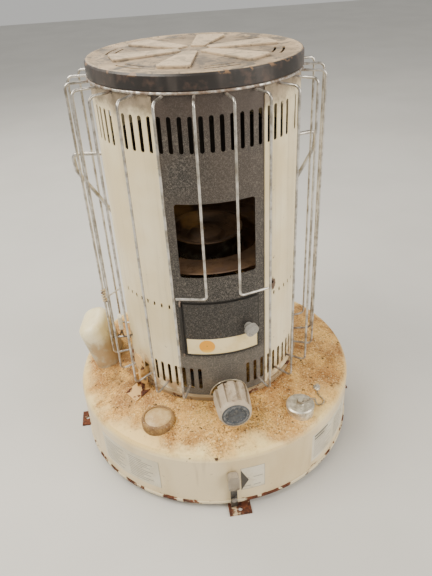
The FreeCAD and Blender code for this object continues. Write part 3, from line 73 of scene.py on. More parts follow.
class Look:
    """One procedural material: short calls for the nodes that its finish is made from."""

    def __init__(self, name):
        self.material = bpy.data.materials.new(name)
        self.material.use_nodes = True
        self.tree = self.material.node_tree
        self.shader = self.tree.nodes["Principled BSDF"]
        self.place = self.node("ShaderNodeTexCoord").outputs["Object"]
        split = self.node("ShaderNodeSeparateXYZ", {0: self.place})
        self.x, self.y, self.z = split.outputs
        self.normal = None

    def node(self, kind, inputs=None, **settings):
        """A node with its settings and inputs; an input is a value or another node's socket."""
        made = self.tree.nodes.new(kind)
        for name, value in settings.items():
            setattr(made, name, value)
        for key, value in (inputs or {}).items():
            if isinstance(value, bpy.types.NodeSocket):
                self.tree.links.new(value, made.inputs[key])
            else:
                made.inputs[key].default_value = value
        return made

    def sum(self, kind, first, second=0.0):
        """A Math node's result."""
        return self.node("ShaderNodeMath", {0: first, 1: second}, operation=kind).outputs[0]

    def length(self, first, second):
        """Length of the line with these two sides."""
        squares = self.sum("ADD", self.sum("MULTIPLY", first, first), self.sum("MULTIPLY", second, second))
        return self.sum("SQRT", squares)

    def radius(self):
        """Distance from the heater's upright axis."""
        return self.length(self.x, self.y)

    def azimuth(self):
        """Angle from the front in degrees, positive to the right."""
        turn = self.sum("ARCTAN2", self.x, self.sum("MULTIPLY", self.y, -1.0))
        return self.sum("MULTIPLY", turn, 180 / math.pi)

    def fade(self, value, low, high):
        """0 at low, 1 at high, smooth between; low may be the larger."""
        made = self.node("ShaderNodeMapRange", {0: value, 1: low, 2: high}, interpolation_type="SMOOTHSTEP")
        made.clamp = True
        return made.outputs[0]

    def within(self, value, low, high, edge=0.0006):
        """1 between low and high, with a short soft edge."""
        return self.sum("MULTIPLY", self.fade(value, low, low + edge), self.fade(value, high, high - edge))

    def noise(self, scale, detail=3.0, rough=0.55, stretch=(1, 1, 1), shift=0.0, bend=0.0):
        """Noise of about 0.3 to 0.7; scale is in cells per metre and stretch divides it along an axis."""
        spread = self.node("ShaderNodeMapping", {0: self.place, 1: (shift, shift, shift), 3: stretch})
        made = self.node("ShaderNodeTexNoise", {
            "Vector": spread.outputs[0], "Scale": scale, "Detail": detail, "Roughness": rough,
            "Distortion": bend})
        return made.outputs[0]

    def mix(self, share, first, second):
        """A colour from first, at share 0, to second, at share 1."""
        made = self.node("ShaderNodeMix", data_type="RGBA")
        for socket, value in ((made.inputs[0], share), (made.inputs[6], first), (made.inputs[7], second)):
            if isinstance(value, bpy.types.NodeSocket):
                self.tree.links.new(value, socket)
            else:
                socket.default_value = value
        return made.outputs[2]

    def product(self, *shares):
        """All the shares multiplied."""
        result = shares[0]
        for share in shares[1:]:
            result = self.sum("MULTIPLY", result, share)
        return result

    def bump(self, height, strength, depth):
        """Relief from a height, on top of any relief so far."""
        made = self.node("ShaderNodeBump", {"Height": height, "Strength": strength, "Distance": depth})
        if self.normal is not None:
            self.tree.links.new(self.normal, made.inputs["Normal"])
        self.normal = made.outputs[0]

    def blend_value(self, share, first, second):
        """A number from first to second."""
        return self.sum("ADD", self.sum("MULTIPLY", share, second - first), first)

    def done(self, colour, rough, metallic=0.0, **plain):
        """Connect the finish to the shader; plain values go on the shader's own sockets."""
        for name, value in (("Base Color", colour), ("Roughness", rough), ("Metallic", metallic)):
            socket = self.shader.inputs[name]
            if isinstance(value, bpy.types.NodeSocket):
                self.tree.links.new(value, socket)
            else:
                socket.default_value = value
        for name, value in plain.items():
            self.shader.inputs[name.replace("_", " ")].default_value = value
        if self.normal is not None:
            self.tree.links.new(self.normal, self.shader.inputs["Normal"])
        return self.material


# ---------------------------------------------------------------- enamel

def tank_enamel():
    """Cream enamel of the base: tan stains and rust specks on the deck, chips at the shoulder and seam."""
    look = Look("tank_enamel")
    cream = look.mix(look.fade(look.noise(9, 4), 0.35, 0.65), tint("f9e3a2"), tint("eecb82"))
    # painted shade: the wall is the deck's enamel painted greyer and darker
    cloud = look.fade(look.noise(11, 4, stretch=(1, 1, 0.35)), 0.38, 0.66)
    shaded_wall = look.mix(cloud, tint("e6d3ac"), tint("d2bb90"))
    on_deck = look.fade(look.z, TANK_HIGH - 0.034, TANK_HIGH - 0.022)
    colour = look.mix(on_deck, shaded_wall, cream)
    # heat and spilled fuel have browned the deck all round the cabinet, up to an uneven edge
    wander = look.sum("MULTIPLY", look.sum("SUBTRACT", look.noise(12, 5, 0.6), 0.5), 0.13)
    reach = look.sum("ADD", look.radius(), wander)
    zone = look.product(look.fade(reach, 0.236, 0.204), on_deck)
    near = look.product(look.fade(reach, 0.206, 0.150), on_deck)
    tan = look.mix(look.fade(look.noise(20, 5, 0.62, shift=3.0), 0.36, 0.64), tint("e0ac58"), tint("ab7233"))
    colour = look.mix(look.product(zone, 0.86), colour, tan)
    brown = look.fade(look.noise(17, 6, 0.7, shift=6.0, bend=0.8), 0.48, 0.64)
    colour = look.mix(look.product(brown, look.sum("MAXIMUM", near, look.product(zone, 0.7)), 0.80), colour,
                      tint("7c4717"))
    # fine rust specks, with grains of the pale enamel between them
    speck = look.fade(look.noise(330, 4, 0.85), 0.50, 0.57)
    drift = look.fade(look.noise(26, 4, 0.6, shift=19.0), 0.34, 0.62)
    colour = look.mix(look.product(speck, zone, look.blend_value(drift, 0.35, 0.85)), colour, tint("573517"))
    grain = look.fade(look.noise(340, 3, 0.75, shift=9.0), 0.555, 0.65)
    colour = look.mix(look.product(grain, zone, 0.60), colour, tint("f3e0a8"))
    stray = look.fade(look.noise(300, 3, 0.7, shift=2.0), 0.645, 0.70)
    colour = look.mix(look.product(stray, on_deck, 0.8), colour, tint("8d6135"))
    # grime between the battery case and the igniter
    azimuth = look.azimuth()
    dirt = look.product(look.within(azimuth, -108.0, -44.0, 14.0), look.fade(look.radius(), 0.215, 0.165),
                        look.fade(look.noise(34, 5, 0.65, shift=17.0), 0.40, 0.60), on_deck)
    colour = look.mix(look.product(dirt, 0.65), colour, tint("6d4a28"))
    spot = look.fade(look.noise(120, 3, 0.6, shift=5.0), 0.64, 0.67)
    colour = look.mix(look.product(spot, zone, 0.9), colour, tint("43301d"))
    # chips at the rounded shoulder, most of them in front
    shoulder = look.within(look.z, TANK_HIGH - 0.036, TANK_HIGH - 0.019, 0.004)
    front = look.within(azimuth, -20.0, 2.0, 10.0)
    chip = look.fade(look.sum("ADD", look.noise(62, 4, 0.6, shift=11.0), look.sum("MULTIPLY", front, 0.055)),
                     0.690, 0.706)
    colour = look.mix(look.product(chip, shoulder), colour, tint("47301f"))
    # scraped lower edge and faint runs down the wall
    foot = look.fade(look.z, TANK_LOW + 0.016, TANK_LOW)
    scrape = look.fade(look.sum("ADD", look.noise(36, 5, 0.65, stretch=(1, 1, 2.2), shift=2.0),
                                look.sum("MULTIPLY", foot, 0.20)), 0.70, 0.74)
    colour = look.mix(look.product(scrape, look.fade(look.z, TANK_LOW + 0.018, TANK_LOW + 0.009)), colour,
                      tint("5f3322"))
    runs = look.fade(look.noise(60, 3, 0.5, stretch=(1, 1, 0.12), shift=4.0), 0.60, 0.74)
    colour = look.mix(look.product(runs, look.sum("SUBTRACT", 1.0, on_deck), 0.30), colour, tint("a89070"))
    fleck = look.fade(look.noise(170, 3, 0.6, shift=13.0), 0.70, 0.73)
    colour = look.mix(look.product(fleck, look.sum("SUBTRACT", 1.0, on_deck), 0.7), colour, tint("7c6142"))
    look.bump(look.noise(70, 3), 0.10, 0.0006)
    look.bump(look.product(speck, zone), 0.25, 0.0003)
    return look.done(colour, look.blend_value(zone, 0.36, 0.78), Specular_IOR_Level=0.45)


def panel_enamel():
    """Cream enamel of the cabinet's sides: faint upright streaks, soot under the lid, rust at the foot."""
    look = Look("panel_enamel")
    colour = look.mix(look.fade(look.noise(7, 4), 0.36, 0.66), tint("efe2bf"), tint("e0cea2"))
    streak = look.fade(look.noise(120, 4, 0.6, stretch=(1, 1, 0.04)), 0.50, 0.72)
    colour = look.mix(look.product(streak, 0.36), colour, tint("bfae8c"))
    # soot and heat above the upper slots
    uneven = look.sum("ADD", look.sum("MULTIPLY", look.noise(30, 5, 0.65), 0.05), look.z)
    soot = look.fade(uneven, 0.582, 0.602)
    colour = look.mix(look.product(soot, 0.86), colour, look.mix(
        look.fade(look.noise(60, 5, 0.65, shift=2.0), 0.38, 0.62), tint("8c7a66"), tint("5c4d40")))
    drift = look.fade(look.noise(24, 5, 0.6, shift=4.0), 0.50, 0.72)
    haze = look.product(look.fade(look.z, 0.47, 0.57), drift)
    colour = look.mix(look.product(haze, 0.55), colour, tint("a39072"))
    low = look.fade(look.z, 0.235, CASING_LOW)
    stain = look.sum("ADD", look.noise(30, 6, 0.68, shift=6.0), look.sum("MULTIPLY", low, 0.24))
    stain = look.fade(stain, 0.64, 0.84)
    colour = look.mix(look.product(stain, look.fade(look.z, 0.30, 0.17), 0.80), colour, tint("a07a4c"))
    blot = look.fade(look.noise(85, 4, 0.6, shift=9.0), 0.70, 0.735)
    colour = look.mix(look.product(blot, 0.75), colour, tint("6d4a2c"))
    # a burnt patch round the hole in the right side
    hole_azimuth, hole_height, flattening = 34.7, 0.317, 0.68
    along = look.sum("MULTIPLY", look.sum("SUBTRACT", look.azimuth(), hole_azimuth), METRES_PER_DEGREE)
    above = look.sum("MULTIPLY", look.sum("SUBTRACT", look.z, hole_height), flattening)
    spread = look.length(along, above)
    wander = look.sum("MULTIPLY", look.sum("SUBTRACT", look.noise(190, 3), 0.5), 0.009)
    ragged = look.sum("ADD", spread, wander)
    colour = look.mix(look.fade(ragged, 0.0078, 0.0052), colour, tint("5b4433"))
    smoke = look.fade(look.noise(26, 5, shift=15.0), 0.28, 0.56)
    colour = look.mix(look.product(look.fade(look.z, 0.574, 0.597), smoke, 0.68), colour, tint("6d5f50"))
    look.bump(look.noise(90, 3), 0.10, 0.0004)
    return look.done(colour, look.blend_value(look.sum("MAXIMUM", soot, stain), 0.36, 0.66))


def hammered(look):
    """Charcoal hammered enamel: dark ground with pale flecks about 1 mm across, browned by heat high up."""
    fleck = look.fade(look.noise(900, 2, 0.7), 0.50, 0.60)
    colour = look.mix(fleck, tint("211e1c"), tint("625c55"))
    broad = look.fade(look.noise(330, 3, 0.6, shift=3.0), 0.52, 0.66)
    colour = look.mix(look.product(broad, 0.40), colour, tint("857d72"))
    pit = look.fade(look.noise(620, 2, 0.6, shift=6.0), 0.58, 0.66)
    colour = look.mix(look.product(pit, 0.65), colour, tint("1c1a19"))
    warm = look.product(look.fade(look.z, 0.33, 0.50), look.fade(look.noise(14, 4), 0.30, 0.62))
    colour = look.mix(look.product(warm, 0.45), colour, tint("54483e"))
    uneven = look.sum("ADD", look.sum("MULTIPLY", look.noise(34, 5, 0.65, shift=4.0), 0.05), look.z)
    smoke = look.fade(uneven, 0.560, 0.598)
    colour = look.mix(look.product(smoke, 0.70), colour, tint("40342d"))
    dust = look.fade(look.noise(45, 5, 0.65, shift=8.0), 0.50, 0.75)
    colour = look.mix(look.product(dust, look.fade(look.z, 0.26, 0.15), 0.55), colour, tint("8a7760"))
    look.bump(look.noise(900, 2, 0.7), 0.30, 0.0002)
    return colour


def panel_charcoal():
    """Front panel's finish, with painted shade along the gap round the door."""
    look = Look("panel_charcoal")
    margin = DOOR_HALF_ANGLE + 1.6
    wide = look.within(look.azimuth(), -margin, margin, 0.3)
    tall = look.within(look.z, DOOR_LOW - 0.0035, DOOR_HIGH + 0.0030, 0.0008)
    ground = look.mix(look.product(look.fade(look.z, 0.226, 0.212), 0.28), hammered(look), tint("8c857b"))
    # painted shade: a near-black band on the panel round the door, where the gap is
    colour = look.mix(look.product(wide, tall, 0.85), ground, tint("15120f"))
    return look.done(colour, look.blend_value(look.noise(300, 2), 0.40, 0.66))


def door_finish():
    """The door's hammered enamel with a cream band along its foot, a plain amber disc on the band, and
    painted shade along its edges.
    """
    look = Look("door_finish")
    band_high = DOOR_LOW + 0.0295
    azimuth = look.azimuth()
    band = look.within(look.z, DOOR_LOW + 0.0022, band_high)
    band = look.product(band, look.within(azimuth, -21.6, 21.9, 0.3))
    cream = look.mix(look.fade(look.noise(30, 4), 0.35, 0.7), tint("f2dfae"), tint("e6cd93"))
    disc_azimuth, disc_height, disc_radius = -9.6, DOOR_LOW + 0.0162, 0.0116
    along = look.sum("MULTIPLY", look.sum("SUBTRACT", azimuth, disc_azimuth), METRES_PER_DEGREE)
    above = look.sum("SUBTRACT", look.z, disc_height)
    reach = look.length(along, above)
    sun = look.mix(look.fade(above, -0.004, -0.012), tint("e9a125"), tint("f3cf63"))
    cream = look.mix(look.fade(reach, disc_radius, disc_radius - 0.0008), cream, sun)
    # painted shade along the door's top, bottom and left edges, at the gap round it
    edge = look.sum("MAXIMUM", look.fade(look.z, DOOR_LOW + 0.0022, DOOR_LOW + 0.0008),
                    look.fade(look.z, DOOR_HIGH - 0.0018, DOOR_HIGH - 0.0004))
    edge = look.sum("MAXIMUM", edge, look.fade(azimuth, -21.4, -22.2))
    ground = look.mix(0.42, hammered(look), tint("171514"))
    colour = look.mix(look.product(edge, 0.85), ground, tint("141210"))
    colour = look.mix(band, colour, cream)
    speck = look.fade(look.noise(240, 3, 0.7, shift=2.0), 0.64, 0.70)
    colour = look.mix(look.product(speck, 0.5), colour, tint("6a5334"))
    return look.done(colour, look.blend_value(band, 0.52, 0.38))


def lid_enamel():
    """Lid: worn beige on grey on top with a lighter star, and a black, slightly rusted rim."""
    look = Look("lid_enamel")
    radius = look.radius()
    star = look.fade(look.z, LID_HIGH - 0.0032, LID_HIGH - 0.0004)
    beige = look.mix(look.fade(look.noise(24, 6, 0.65), 0.36, 0.62), tint("b9a283"), tint("917e66"))
    beige = look.mix(look.product(star, 0.70), beige, tint("d3bd9e"))
    grey = look.fade(look.noise(40, 6, 0.68, shift=4.0, bend=0.8), 0.48, 0.60)
    top = look.mix(look.product(grey, look.blend_value(star, 0.90, 0.40)), beige, tint("615a52"))
    # darker along the foot of the star's arms
    foot = look.within(look.z, LID_HIGH - 0.0046, LID_HIGH - 0.0012, 0.0007)
    top = look.mix(look.product(foot, look.fade(radius, 0.122, 0.105), 0.30), top, tint("5d5044"))
    soot = look.fade(look.noise(140, 4, 0.65, shift=8.0), 0.60, 0.68)
    top = look.mix(look.product(soot, 0.6), top, tint("3f362e"))
    rim = look.mix(look.fade(look.noise(60, 5, 0.6, shift=1.0), 0.50, 0.72), tint("24201f"), tint("4a3a32"))
    sheen = look.fade(look.noise(30, 3, 0.5, stretch=(1, 1, 0.2), shift=3.0), 0.50, 0.66)
    rim = look.mix(look.product(sheen, 0.35), rim, tint("5b524d"))
    around = look.fade(radius, LID_RADIUS - 0.0030, LID_RADIUS - 0.0010)
    colour = look.mix(around, top, rim)
    bare = look.product(look.fade(look.noise(75, 4, 0.6, shift=12.0), 0.56, 0.62),
                        look.within(radius, LID_RADIUS - 0.0045, LID_RADIUS + 0.001, 0.001),
                        look.fade(look.z, LID_HIGH - 0.0075, LID_HIGH - 0.0035))
    colour = look.mix(look.product(bare, 0.7), colour, tint("8d6b4b"))
    look.bump(look.noise(160, 4, 0.6), 0.22, 0.0004)
    return look.done(colour, look.blend_value(around, 0.68, 0.36))


# ---------------------------------------------------------------- metals

def guard_chrome():
    """Old chrome wire, dulled all over, with brown ends near the deck and the cabinet."""
    look = Look("guard_chrome")
    dull = look.fade(look.noise(60, 5, 0.65), 0.38, 0.66)
    colour = look.mix(dull, tint("cfcbc5"), tint("8f887d"))
    low = look.fade(look.z, 0.26, GUARD_LOW)
    rust = look.sum("ADD", look.noise(95, 5, 0.7, shift=3.0), look.sum("MULTIPLY", low, 0.16))
    rust = look.fade(rust, 0.62, 0.76)
    root = look.fade(look.radius(), 0.150, 0.139)
    at_root = look.product(root, look.fade(look.noise(120, 4), 0.35, 0.6))
    rust = look.sum("MAXIMUM", look.product(rust, 0.9), at_root)
    colour = look.mix(look.product(rust, 0.80), colour, tint("6e5440"))
    look.bump(look.noise(300, 3, 0.6), 0.12, 0.0002)
    return look.done(colour, look.blend_value(rust, 0.30, 0.62), look.blend_value(rust, 0.85, 0.30))


def rusty_iron(name, ground, flakes):
    """Rusted steel with remnants of what covered it."""
    look = Look(name)
    rust = look.mix(look.fade(look.noise(70, 6, 0.7), 0.35, 0.65), tint("6b3a24"), tint("3b2018"))
    fresh = look.fade(look.noise(260, 4, 0.7, shift=2.0), 0.5, 0.7)
    rust = look.mix(look.product(fresh, 0.6), rust, tint("a0623a"))
    left = look.fade(look.noise(45, 5, 0.62, shift=5.0), flakes, flakes + 0.06)
    colour = look.mix(left, rust, tint(ground))
    look.bump(look.noise(240, 5, 0.7), 0.45, 0.0006)
    return look.done(colour, look.blend_value(left, 0.82, 0.5), look.blend_value(left, 0.25, 0.0))


def zinc(name, light, dark, stain_share=0.5):
    """Dull plated steel with grime in mottled patches."""
    look = Look(name)
    colour = look.mix(look.fade(look.noise(110, 5, 0.65), 0.36, 0.64), tint(light), tint(dark))
    grime = look.fade(look.noise(180, 4, 0.65, shift=4.0), 0.54, 0.68)
    colour = look.mix(look.product(grime, stain_share), colour, tint("6b543c"))
    look.bump(look.noise(400, 3, 0.6), 0.15, 0.0002)
    return look.done(colour, look.blend_value(grime, 0.38, 0.70), look.blend_value(grime, 0.80, 0.25))


def heat_tinted(name, light, dark, sheen, shine=0.35, sooty=0.65):
    """Steel that has been red hot: brown and straw bands, a straw patch at the rear left, soot in patches,
    and near-black high up, partly soot and partly painted shade.
    """
    look = Look(name)
    bands = look.fade(look.noise(16, 5, 0.6, stretch=(1, 1, 2.5)), 0.34, 0.66)
    colour = look.mix(bands, tint(light), tint(dark))
    blue = look.fade(look.noise(22, 4, 0.6, shift=5.0), 0.56, 0.72)
    colour = look.mix(look.product(blue, 0.25), colour, tint("4a4650"))
    soot = look.fade(look.noise(48, 6, 0.7, shift=9.0), 0.52, 0.70)
    colour = look.mix(look.product(soot, sooty), colour, tint("1f1813"))
    patch = look.product(look.within(look.azimuth(), -178.0, -126.0, 10.0), look.fade(look.z, 0.262, 0.290))
    cloud = look.fade(look.noise(30, 4, shift=12.0), 0.30, 0.60)
    colour = look.mix(look.product(patch, cloud, 0.75), colour, tint("c0955a"))
    # near-black above about 0.40 m: partly soot, partly painted shade for the dark inside behind the upper
    # slots
    colour = look.mix(look.product(look.fade(look.z, 0.36, 0.43), 0.95), colour, tint("120e0b"))
    look.bump(look.noise(200, 4, 0.6), 0.20, 0.0003)
    return look.done(colour, look.blend_value(soot, sheen, 0.80), look.blend_value(soot, shine, 0.10))


def battery_finish():
    """Aged ivory plastic, clean on the crown, greyed lower down by painted shade, with tan dirt lower down.
    """
    look = Look("battery_finish")
    colour = look.mix(look.fade(look.noise(24, 5, 0.6), 0.36, 0.66), tint("fcf2cc"), tint("f2e2b0"))
    low = look.fade(look.z, 0.188, 0.158)
    dirt = look.sum("ADD", look.noise(45, 6, 0.68, shift=4.0, bend=0.5), look.sum("MULTIPLY", low, 0.17))
    dirt = look.fade(dirt, 0.53, 0.72)
    # painted shade: the lower front of the case is greyed as a shaded face
    colour = look.mix(look.product(low, 0.80), colour, tint("a99c86"))
    colour = look.mix(look.product(dirt, look.blend_value(low, 0.30, 0.75)), colour, tint("b08f5f"))
    foot = look.fade(look.z, 0.140, 0.118)
    grime = look.fade(look.noise(90, 5, 0.65), 0.40, 0.62)
    colour = look.mix(look.product(foot, grime, 0.6), colour, tint("8a6c46"))
    look.bump(look.noise(300, 3, 0.6), 0.10, 0.0002)
    return look.done(colour, look.blend_value(low, 0.30, 0.55))


def boss_finish(name, height):
    """A fitting's boss in the deck's stained enamel, with painted shade round its foot."""
    look = Look(name)
    colour = look.mix(look.fade(look.noise(60, 5, 0.6), 0.36, 0.64), tint("a3824f"), tint("7c5c38"))
    speck = look.fade(look.noise(380, 3, 0.7), 0.52, 0.62)
    colour = look.mix(look.product(speck, 0.6), colour, tint("5d4026"))
    grain = look.fade(look.noise(340, 3, 0.7, shift=4.0), 0.58, 0.66)
    colour = look.mix(look.product(grain, 0.55), colour, tint("cdb283"))
    # painted shade, darkening the boss's side towards the deck
    foot = look.fade(look.z, height, height - 0.010)
    colour = look.mix(look.product(foot, 0.45), colour, tint("4f3823"))
    look.bump(speck, 0.2, 0.0002)
    return look.done(colour, 0.62)


# ---------------------------------------------------------------- plastics, glass and cloth

def moulded(name, light, dark, dirt, grain=420, rough=0.50, dirt_share=0.7):
    """Moulded plastic with a fine grain and dirt that has settled in patches."""
    look = Look(name)
    colour = look.mix(look.fade(look.noise(28, 5, 0.6), 0.36, 0.66), tint(light), tint(dark))
    soil = look.fade(look.noise(75, 6, 0.7, shift=4.0, bend=0.4), 0.52, 0.70)
    colour = look.mix(look.product(soil, dirt_share), colour, tint(dirt))
    speck = look.fade(look.noise(520, 2, 0.6, shift=7.0), 0.62, 0.70)
    colour = look.mix(look.product(speck, 0.35), colour, tint(dirt))
    look.bump(look.noise(grain, 3, 0.6), 0.12, 0.00025)
    return look.done(colour, look.blend_value(soil, rough, rough + 0.22))


def gauge_cover():
    """Gauge cover gone tan and dusty."""
    look = Look("gauge_cover")
    colour = look.mix(look.fade(look.noise(60, 5, 0.6), 0.34, 0.66), tint("cdb07e"), tint("b3905c"))
    dust = look.fade(look.noise(260, 4, 0.7, shift=3.0), 0.54, 0.66)
    colour = look.mix(look.product(dust, 0.5), colour, tint("dcc89f"))
    look.bump(look.noise(180, 3), 0.10, 0.0003)
    return look.done(colour, 0.40, Coat_Weight=0.25, Coat_Roughness=0.30)


def sooty_glass():
    """Burner glass, brown and hazy with soot that thickens upwards."""
    look = Look("sooty_glass")
    high = look.fade(look.z, 0.22, 0.36)
    soot = look.fade(look.sum("ADD", look.noise(22, 5, 0.6), look.sum("MULTIPLY", high, 0.2)), 0.50, 0.74)
    colour = look.mix(soot, tint("d9cfb8"), tint("54402b"))
    look.bump(look.noise(60, 2), 0.08, 0.0004)
    return look.done(colour, look.blend_value(soot, 0.08, 0.45), Transmission_Weight=0.85, IOR=1.47)


def wick_cloth():
    """Woven glass-fibre wick, charred along its upper edge."""
    look = Look("wick_cloth")
    weave = look.sum("MULTIPLY", look.sum("SINE", look.sum("MULTIPLY", look.azimuth(), 6.3)),
                     look.sum("SINE", look.sum("MULTIPLY", look.z, 4200.0)))
    colour = look.mix(look.fade(weave, -0.5, 0.6), tint("b9ab8e"), tint("e6dcc6"))
    wick_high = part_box("wick")[1][2]
    colour = look.mix(look.fade(look.z, wick_high - 0.012, wick_high - 0.003), colour, tint("17120f"))
    look.bump(weave, 0.5, 0.0006)
    return look.done(colour, 0.92)


def strainer_mesh():
    """Fine metal gauze, drawn as a weave of bright wires over dark gaps."""
    look = Look("strainer_mesh")
    weave = look.product(look.fade(look.sum("SINE", look.sum("MULTIPLY", look.azimuth(), 90.0)), -0.4, 0.2),
                         look.fade(look.sum("SINE", look.sum("MULTIPLY", look.z, 5200.0)), -0.4, 0.2))
    colour = look.mix(weave, tint("3a3226"), tint("b4a685"))
    look.bump(weave, 0.4, 0.0004)
    return look.done(colour, 0.45, 0.85)


def dial_face():
    """Printed dial seen through the cover: pale, with dark specks."""
    look = Look("dial_face")
    colour = look.mix(look.fade(look.noise(90, 4), 0.35, 0.65), tint("e4dcc4"), tint("cfc2a0"))
    speck = look.fade(look.noise(300, 3, shift=3.0), 0.58, 0.66)
    colour = look.mix(look.product(speck, 0.4), colour, tint("8f7a54"))
    return look.done(colour, 0.55)


def knob_face_finish():
    """Dark slate disc of the wick knob: fine turned rings, dust, and worn radial marks."""
    look = Look("knob_face_finish")
    middle = (Vector(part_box("knob_face")[0]) + Vector(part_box("knob_face")[1])) / 2
    across = look.sum("SUBTRACT", look.x, middle.x)
    up = look.sum("SUBTRACT", look.z, middle.z)
    reach = look.length(across, up)
    colour = look.mix(look.fade(look.noise(90, 5, 0.65), 0.36, 0.66), tint("4d5258"), tint("34383d"))
    turn = look.sum("ARCTAN2", up, across)
    marks = look.fade(look.sum("SINE", look.sum("MULTIPLY", turn, 12.0)), 0.93, 0.99)
    colour = look.mix(look.product(marks, look.within(reach, 0.0116, 0.0144), 0.6), colour, tint("a7a49b"))
    pale = look.within(reach, 0.0150, 0.0185, 0.0008)
    worn = look.fade(look.noise(160, 4, 0.6, shift=7.0), 0.38, 0.60)
    colour = look.mix(look.product(pale, worn, 0.55), colour, tint("8e8e8c"))
    dust = look.fade(look.noise(320, 4, 0.7, shift=2.0), 0.52, 0.68)
    colour = look.mix(look.product(dust, 0.4), colour, tint("8f867a"))
    rings = look.sum("SINE", look.sum("MULTIPLY", reach, 5200.0))
    look.bump(rings, 0.10, 0.0002)
    return look.done(colour, 0.48)


# ---------------------------------------------------------------- finishes onto the CAD nodes

def paint(material, *nodes):
    """Give CAD nodes a material."""
    for name in nodes:
        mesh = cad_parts[name].data
        mesh.materials.clear()
        mesh.materials.append(material)


def paint_frame():
    """A finish for every CAD node."""
    paint(tank_enamel(), "fuel_tank_top")
    paint(panel_enamel(), "side_panel_left", "side_panel_right", "back_panel")
    paint(panel_charcoal(), "front_panel")
    paint(door_finish(), "front_door")
    paint(lid_enamel(), "top_plate")
    paint(guard_chrome(), "guard_ring", "guard_wires_left", "guard_wires_right", "guard_front_wires",
          "side_handle_left", "side_handle_right", "door_hinge_pin")
    paint(rusty_iron("seam_rust", "d6c8a6", 0.45), "fuel_tank_bottom")
    paint(rusty_iron("foot_rust", "c4ae8c", 0.52), "foot_front", "foot_right", "foot_back", "foot_left")
    paint(rusty_iron("ring_rust", "9a8362", 0.40), "cabinet_base_ring")
    paint(rusty_iron("tab_rust", "cfa668", 0.42), "igniter_bracket", "igniter_lever")
    paint(zinc("cap_zinc", "ebe5d6", "beb6a4"), "filler_cap", "filler_neck", "chain_anchor")
    paint(zinc("chain_zinc", "b5a995", "857761"), "cap_chain", "burner_screws")
    paint(zinc("shaft_steel", "9c9690", "6f6962"), "adjuster_shaft", "igniter_pin", "tip_weight",
          "adjuster_housing", "wick_carrier", "shutoff_pivot")
    paint(zinc("lever_steel", "5d5a56", "3c3a38", 0.6), "shutoff_lever")
    paint(heat_tinted("burner_bronze", "7d6148", "4e3c2c", 0.42, 0.25, 0.5), "burner_cap",
          "flame_tube_inner", "flame_tube_outer", "burner_base", "wick_tube_inner", "wick_tube_outer")
    paint(heat_tinted("shield_straw", "7b5e42", "4e3826", 0.52, 0.12, 0.5), "rear_reflector", "heat_baffle")
    paint(sooty_glass(), "glass_chimney")
    paint(gauge_cover(), "gauge_lens")
    paint(boss_finish("gauge_boss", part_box("gauge_bezel")[1][2] - 0.004), "gauge_bezel")
    paint(dial_face(), "gauge_dial")
    paint(moulded("needle_red", "b7391f", "9c2c18", "5a2a1c"), "gauge_needle")
    paint(moulded("cork_float", "b88f5e", "9a7447", "6b4c2c", 900, 0.8), "gauge_float")
    paint(moulded("knob_beige", "bfb09a", "a4927a", "6a543d", 520, 0.55), "wick_knob")
    paint(knob_face_finish(), "knob_face")
    paint(moulded("wing_grey", "a6a29b", "87837d", "5b544b"), "door_knob")
    paint(moulded("cap_taupe", "a59a89", "8b7f6e", "655544"), "shutoff_cap")
    paint(battery_finish(), "battery_case", "battery_lid")
    paint(moulded("cell_wrap", "2b2b2e", "1f2023", "5a5148"), "battery_cells")
    paint(moulded("ceramic_white", "d8d2c6", "c2b9a8", "7d6a52"), "igniter_coil")
    paint(moulded("gasket_black", "222120", "181716", "3d352c"), "filler_cap_gasket")
    paint(wick_cloth(), "wick")
    paint(strainer_mesh(), "fuel_strainer")


# ---------------------------------------------------------------- pieces made in Blender

def mesh_object(name, bm, material, smooth=True):
    """An object from a bmesh, in the shared frame."""
    mesh = bpy.data.meshes.new(name)
    bm.to_mesh(mesh)
    bm.free()
    for face in mesh.polygons:
        face.use_smooth = smooth
    mesh.materials.append(material)
    made = bpy.data.objects.new(name, mesh)
    bpy.context.scene.collection.objects.link(made)
    return made


def polar(azimuth, radius, height):
    """A point at an azimuth in degrees from the front, positive to the right."""
    angle = math.radians(azimuth)
    return Vector((radius * math.sin(angle), -radius * math.cos(angle), height))


def wall_patch(bm, middle, width, low, high, radius, lift):
    """A curved rectangle that lies on the tank's wall; width is along the wall, in metres."""
    steps = max(2, int(width / 0.004))
    half = math.degrees(width / 2 / radius)
    rows = []
    for index in range(steps + 1):
        azimuth = middle - half + 2 * half * index / steps
        rows.append([bm.verts.new(polar(azimuth, radius + lift, height)) for height in (low, high)])
    for before, after in zip(rows, rows[1:]):
        bm.faces.new((before[0], after[0], after[1], before[1]))


def label(name, span, low, high, paper, ink, lines, framed):
    """A plain label on the tank's wall between two azimuths: paper, and rows of bars in place of any text."""
    middle = sum(span) / 2
    width = math.radians(span[1] - span[0]) * TANK_RADIUS
    bm = bmesh.new()
    wall_patch(bm, middle, width, low, high, TANK_RADIUS, 0.00015)
    sheet = mesh_object(name, bm, paper)
    bm = bmesh.new()
    line = 0.0006
    side = math.degrees((width - line) / 2 / TANK_RADIUS)
    if framed:
        for height in (low, high - line):
            wall_patch(bm, middle, width, height, height + line, TANK_RADIUS, 0.00025)
        wall_patch(bm, middle - side, line, low, high, TANK_RADIUS, 0.00025)
    wall_patch(bm, middle + side, line, low, high, TANK_RADIUS, 0.00025)
    pitch = (high - low - 0.012) / max(lines, 1)
    for row in range(lines):
        level = low + 0.006 + pitch * row
        for part, share in enumerate(((0.36, 0.30), (0.30, 0.38), (0.40, 0.22), (0.26, 0.34))[row % 4]):
            start = (-0.46, 0.02)[part] * width
            centre = middle + math.degrees((start + share * width / 2) / TANK_RADIUS)
            thick = min(0.0016, pitch * 0.36)
            wall_patch(bm, centre, share * width, level, level + thick, TANK_RADIUS, 0.00025)
    bars = mesh_object(name + "_bars", bm, ink)
    for piece in (sheet, bars):
        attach(piece, "heater")


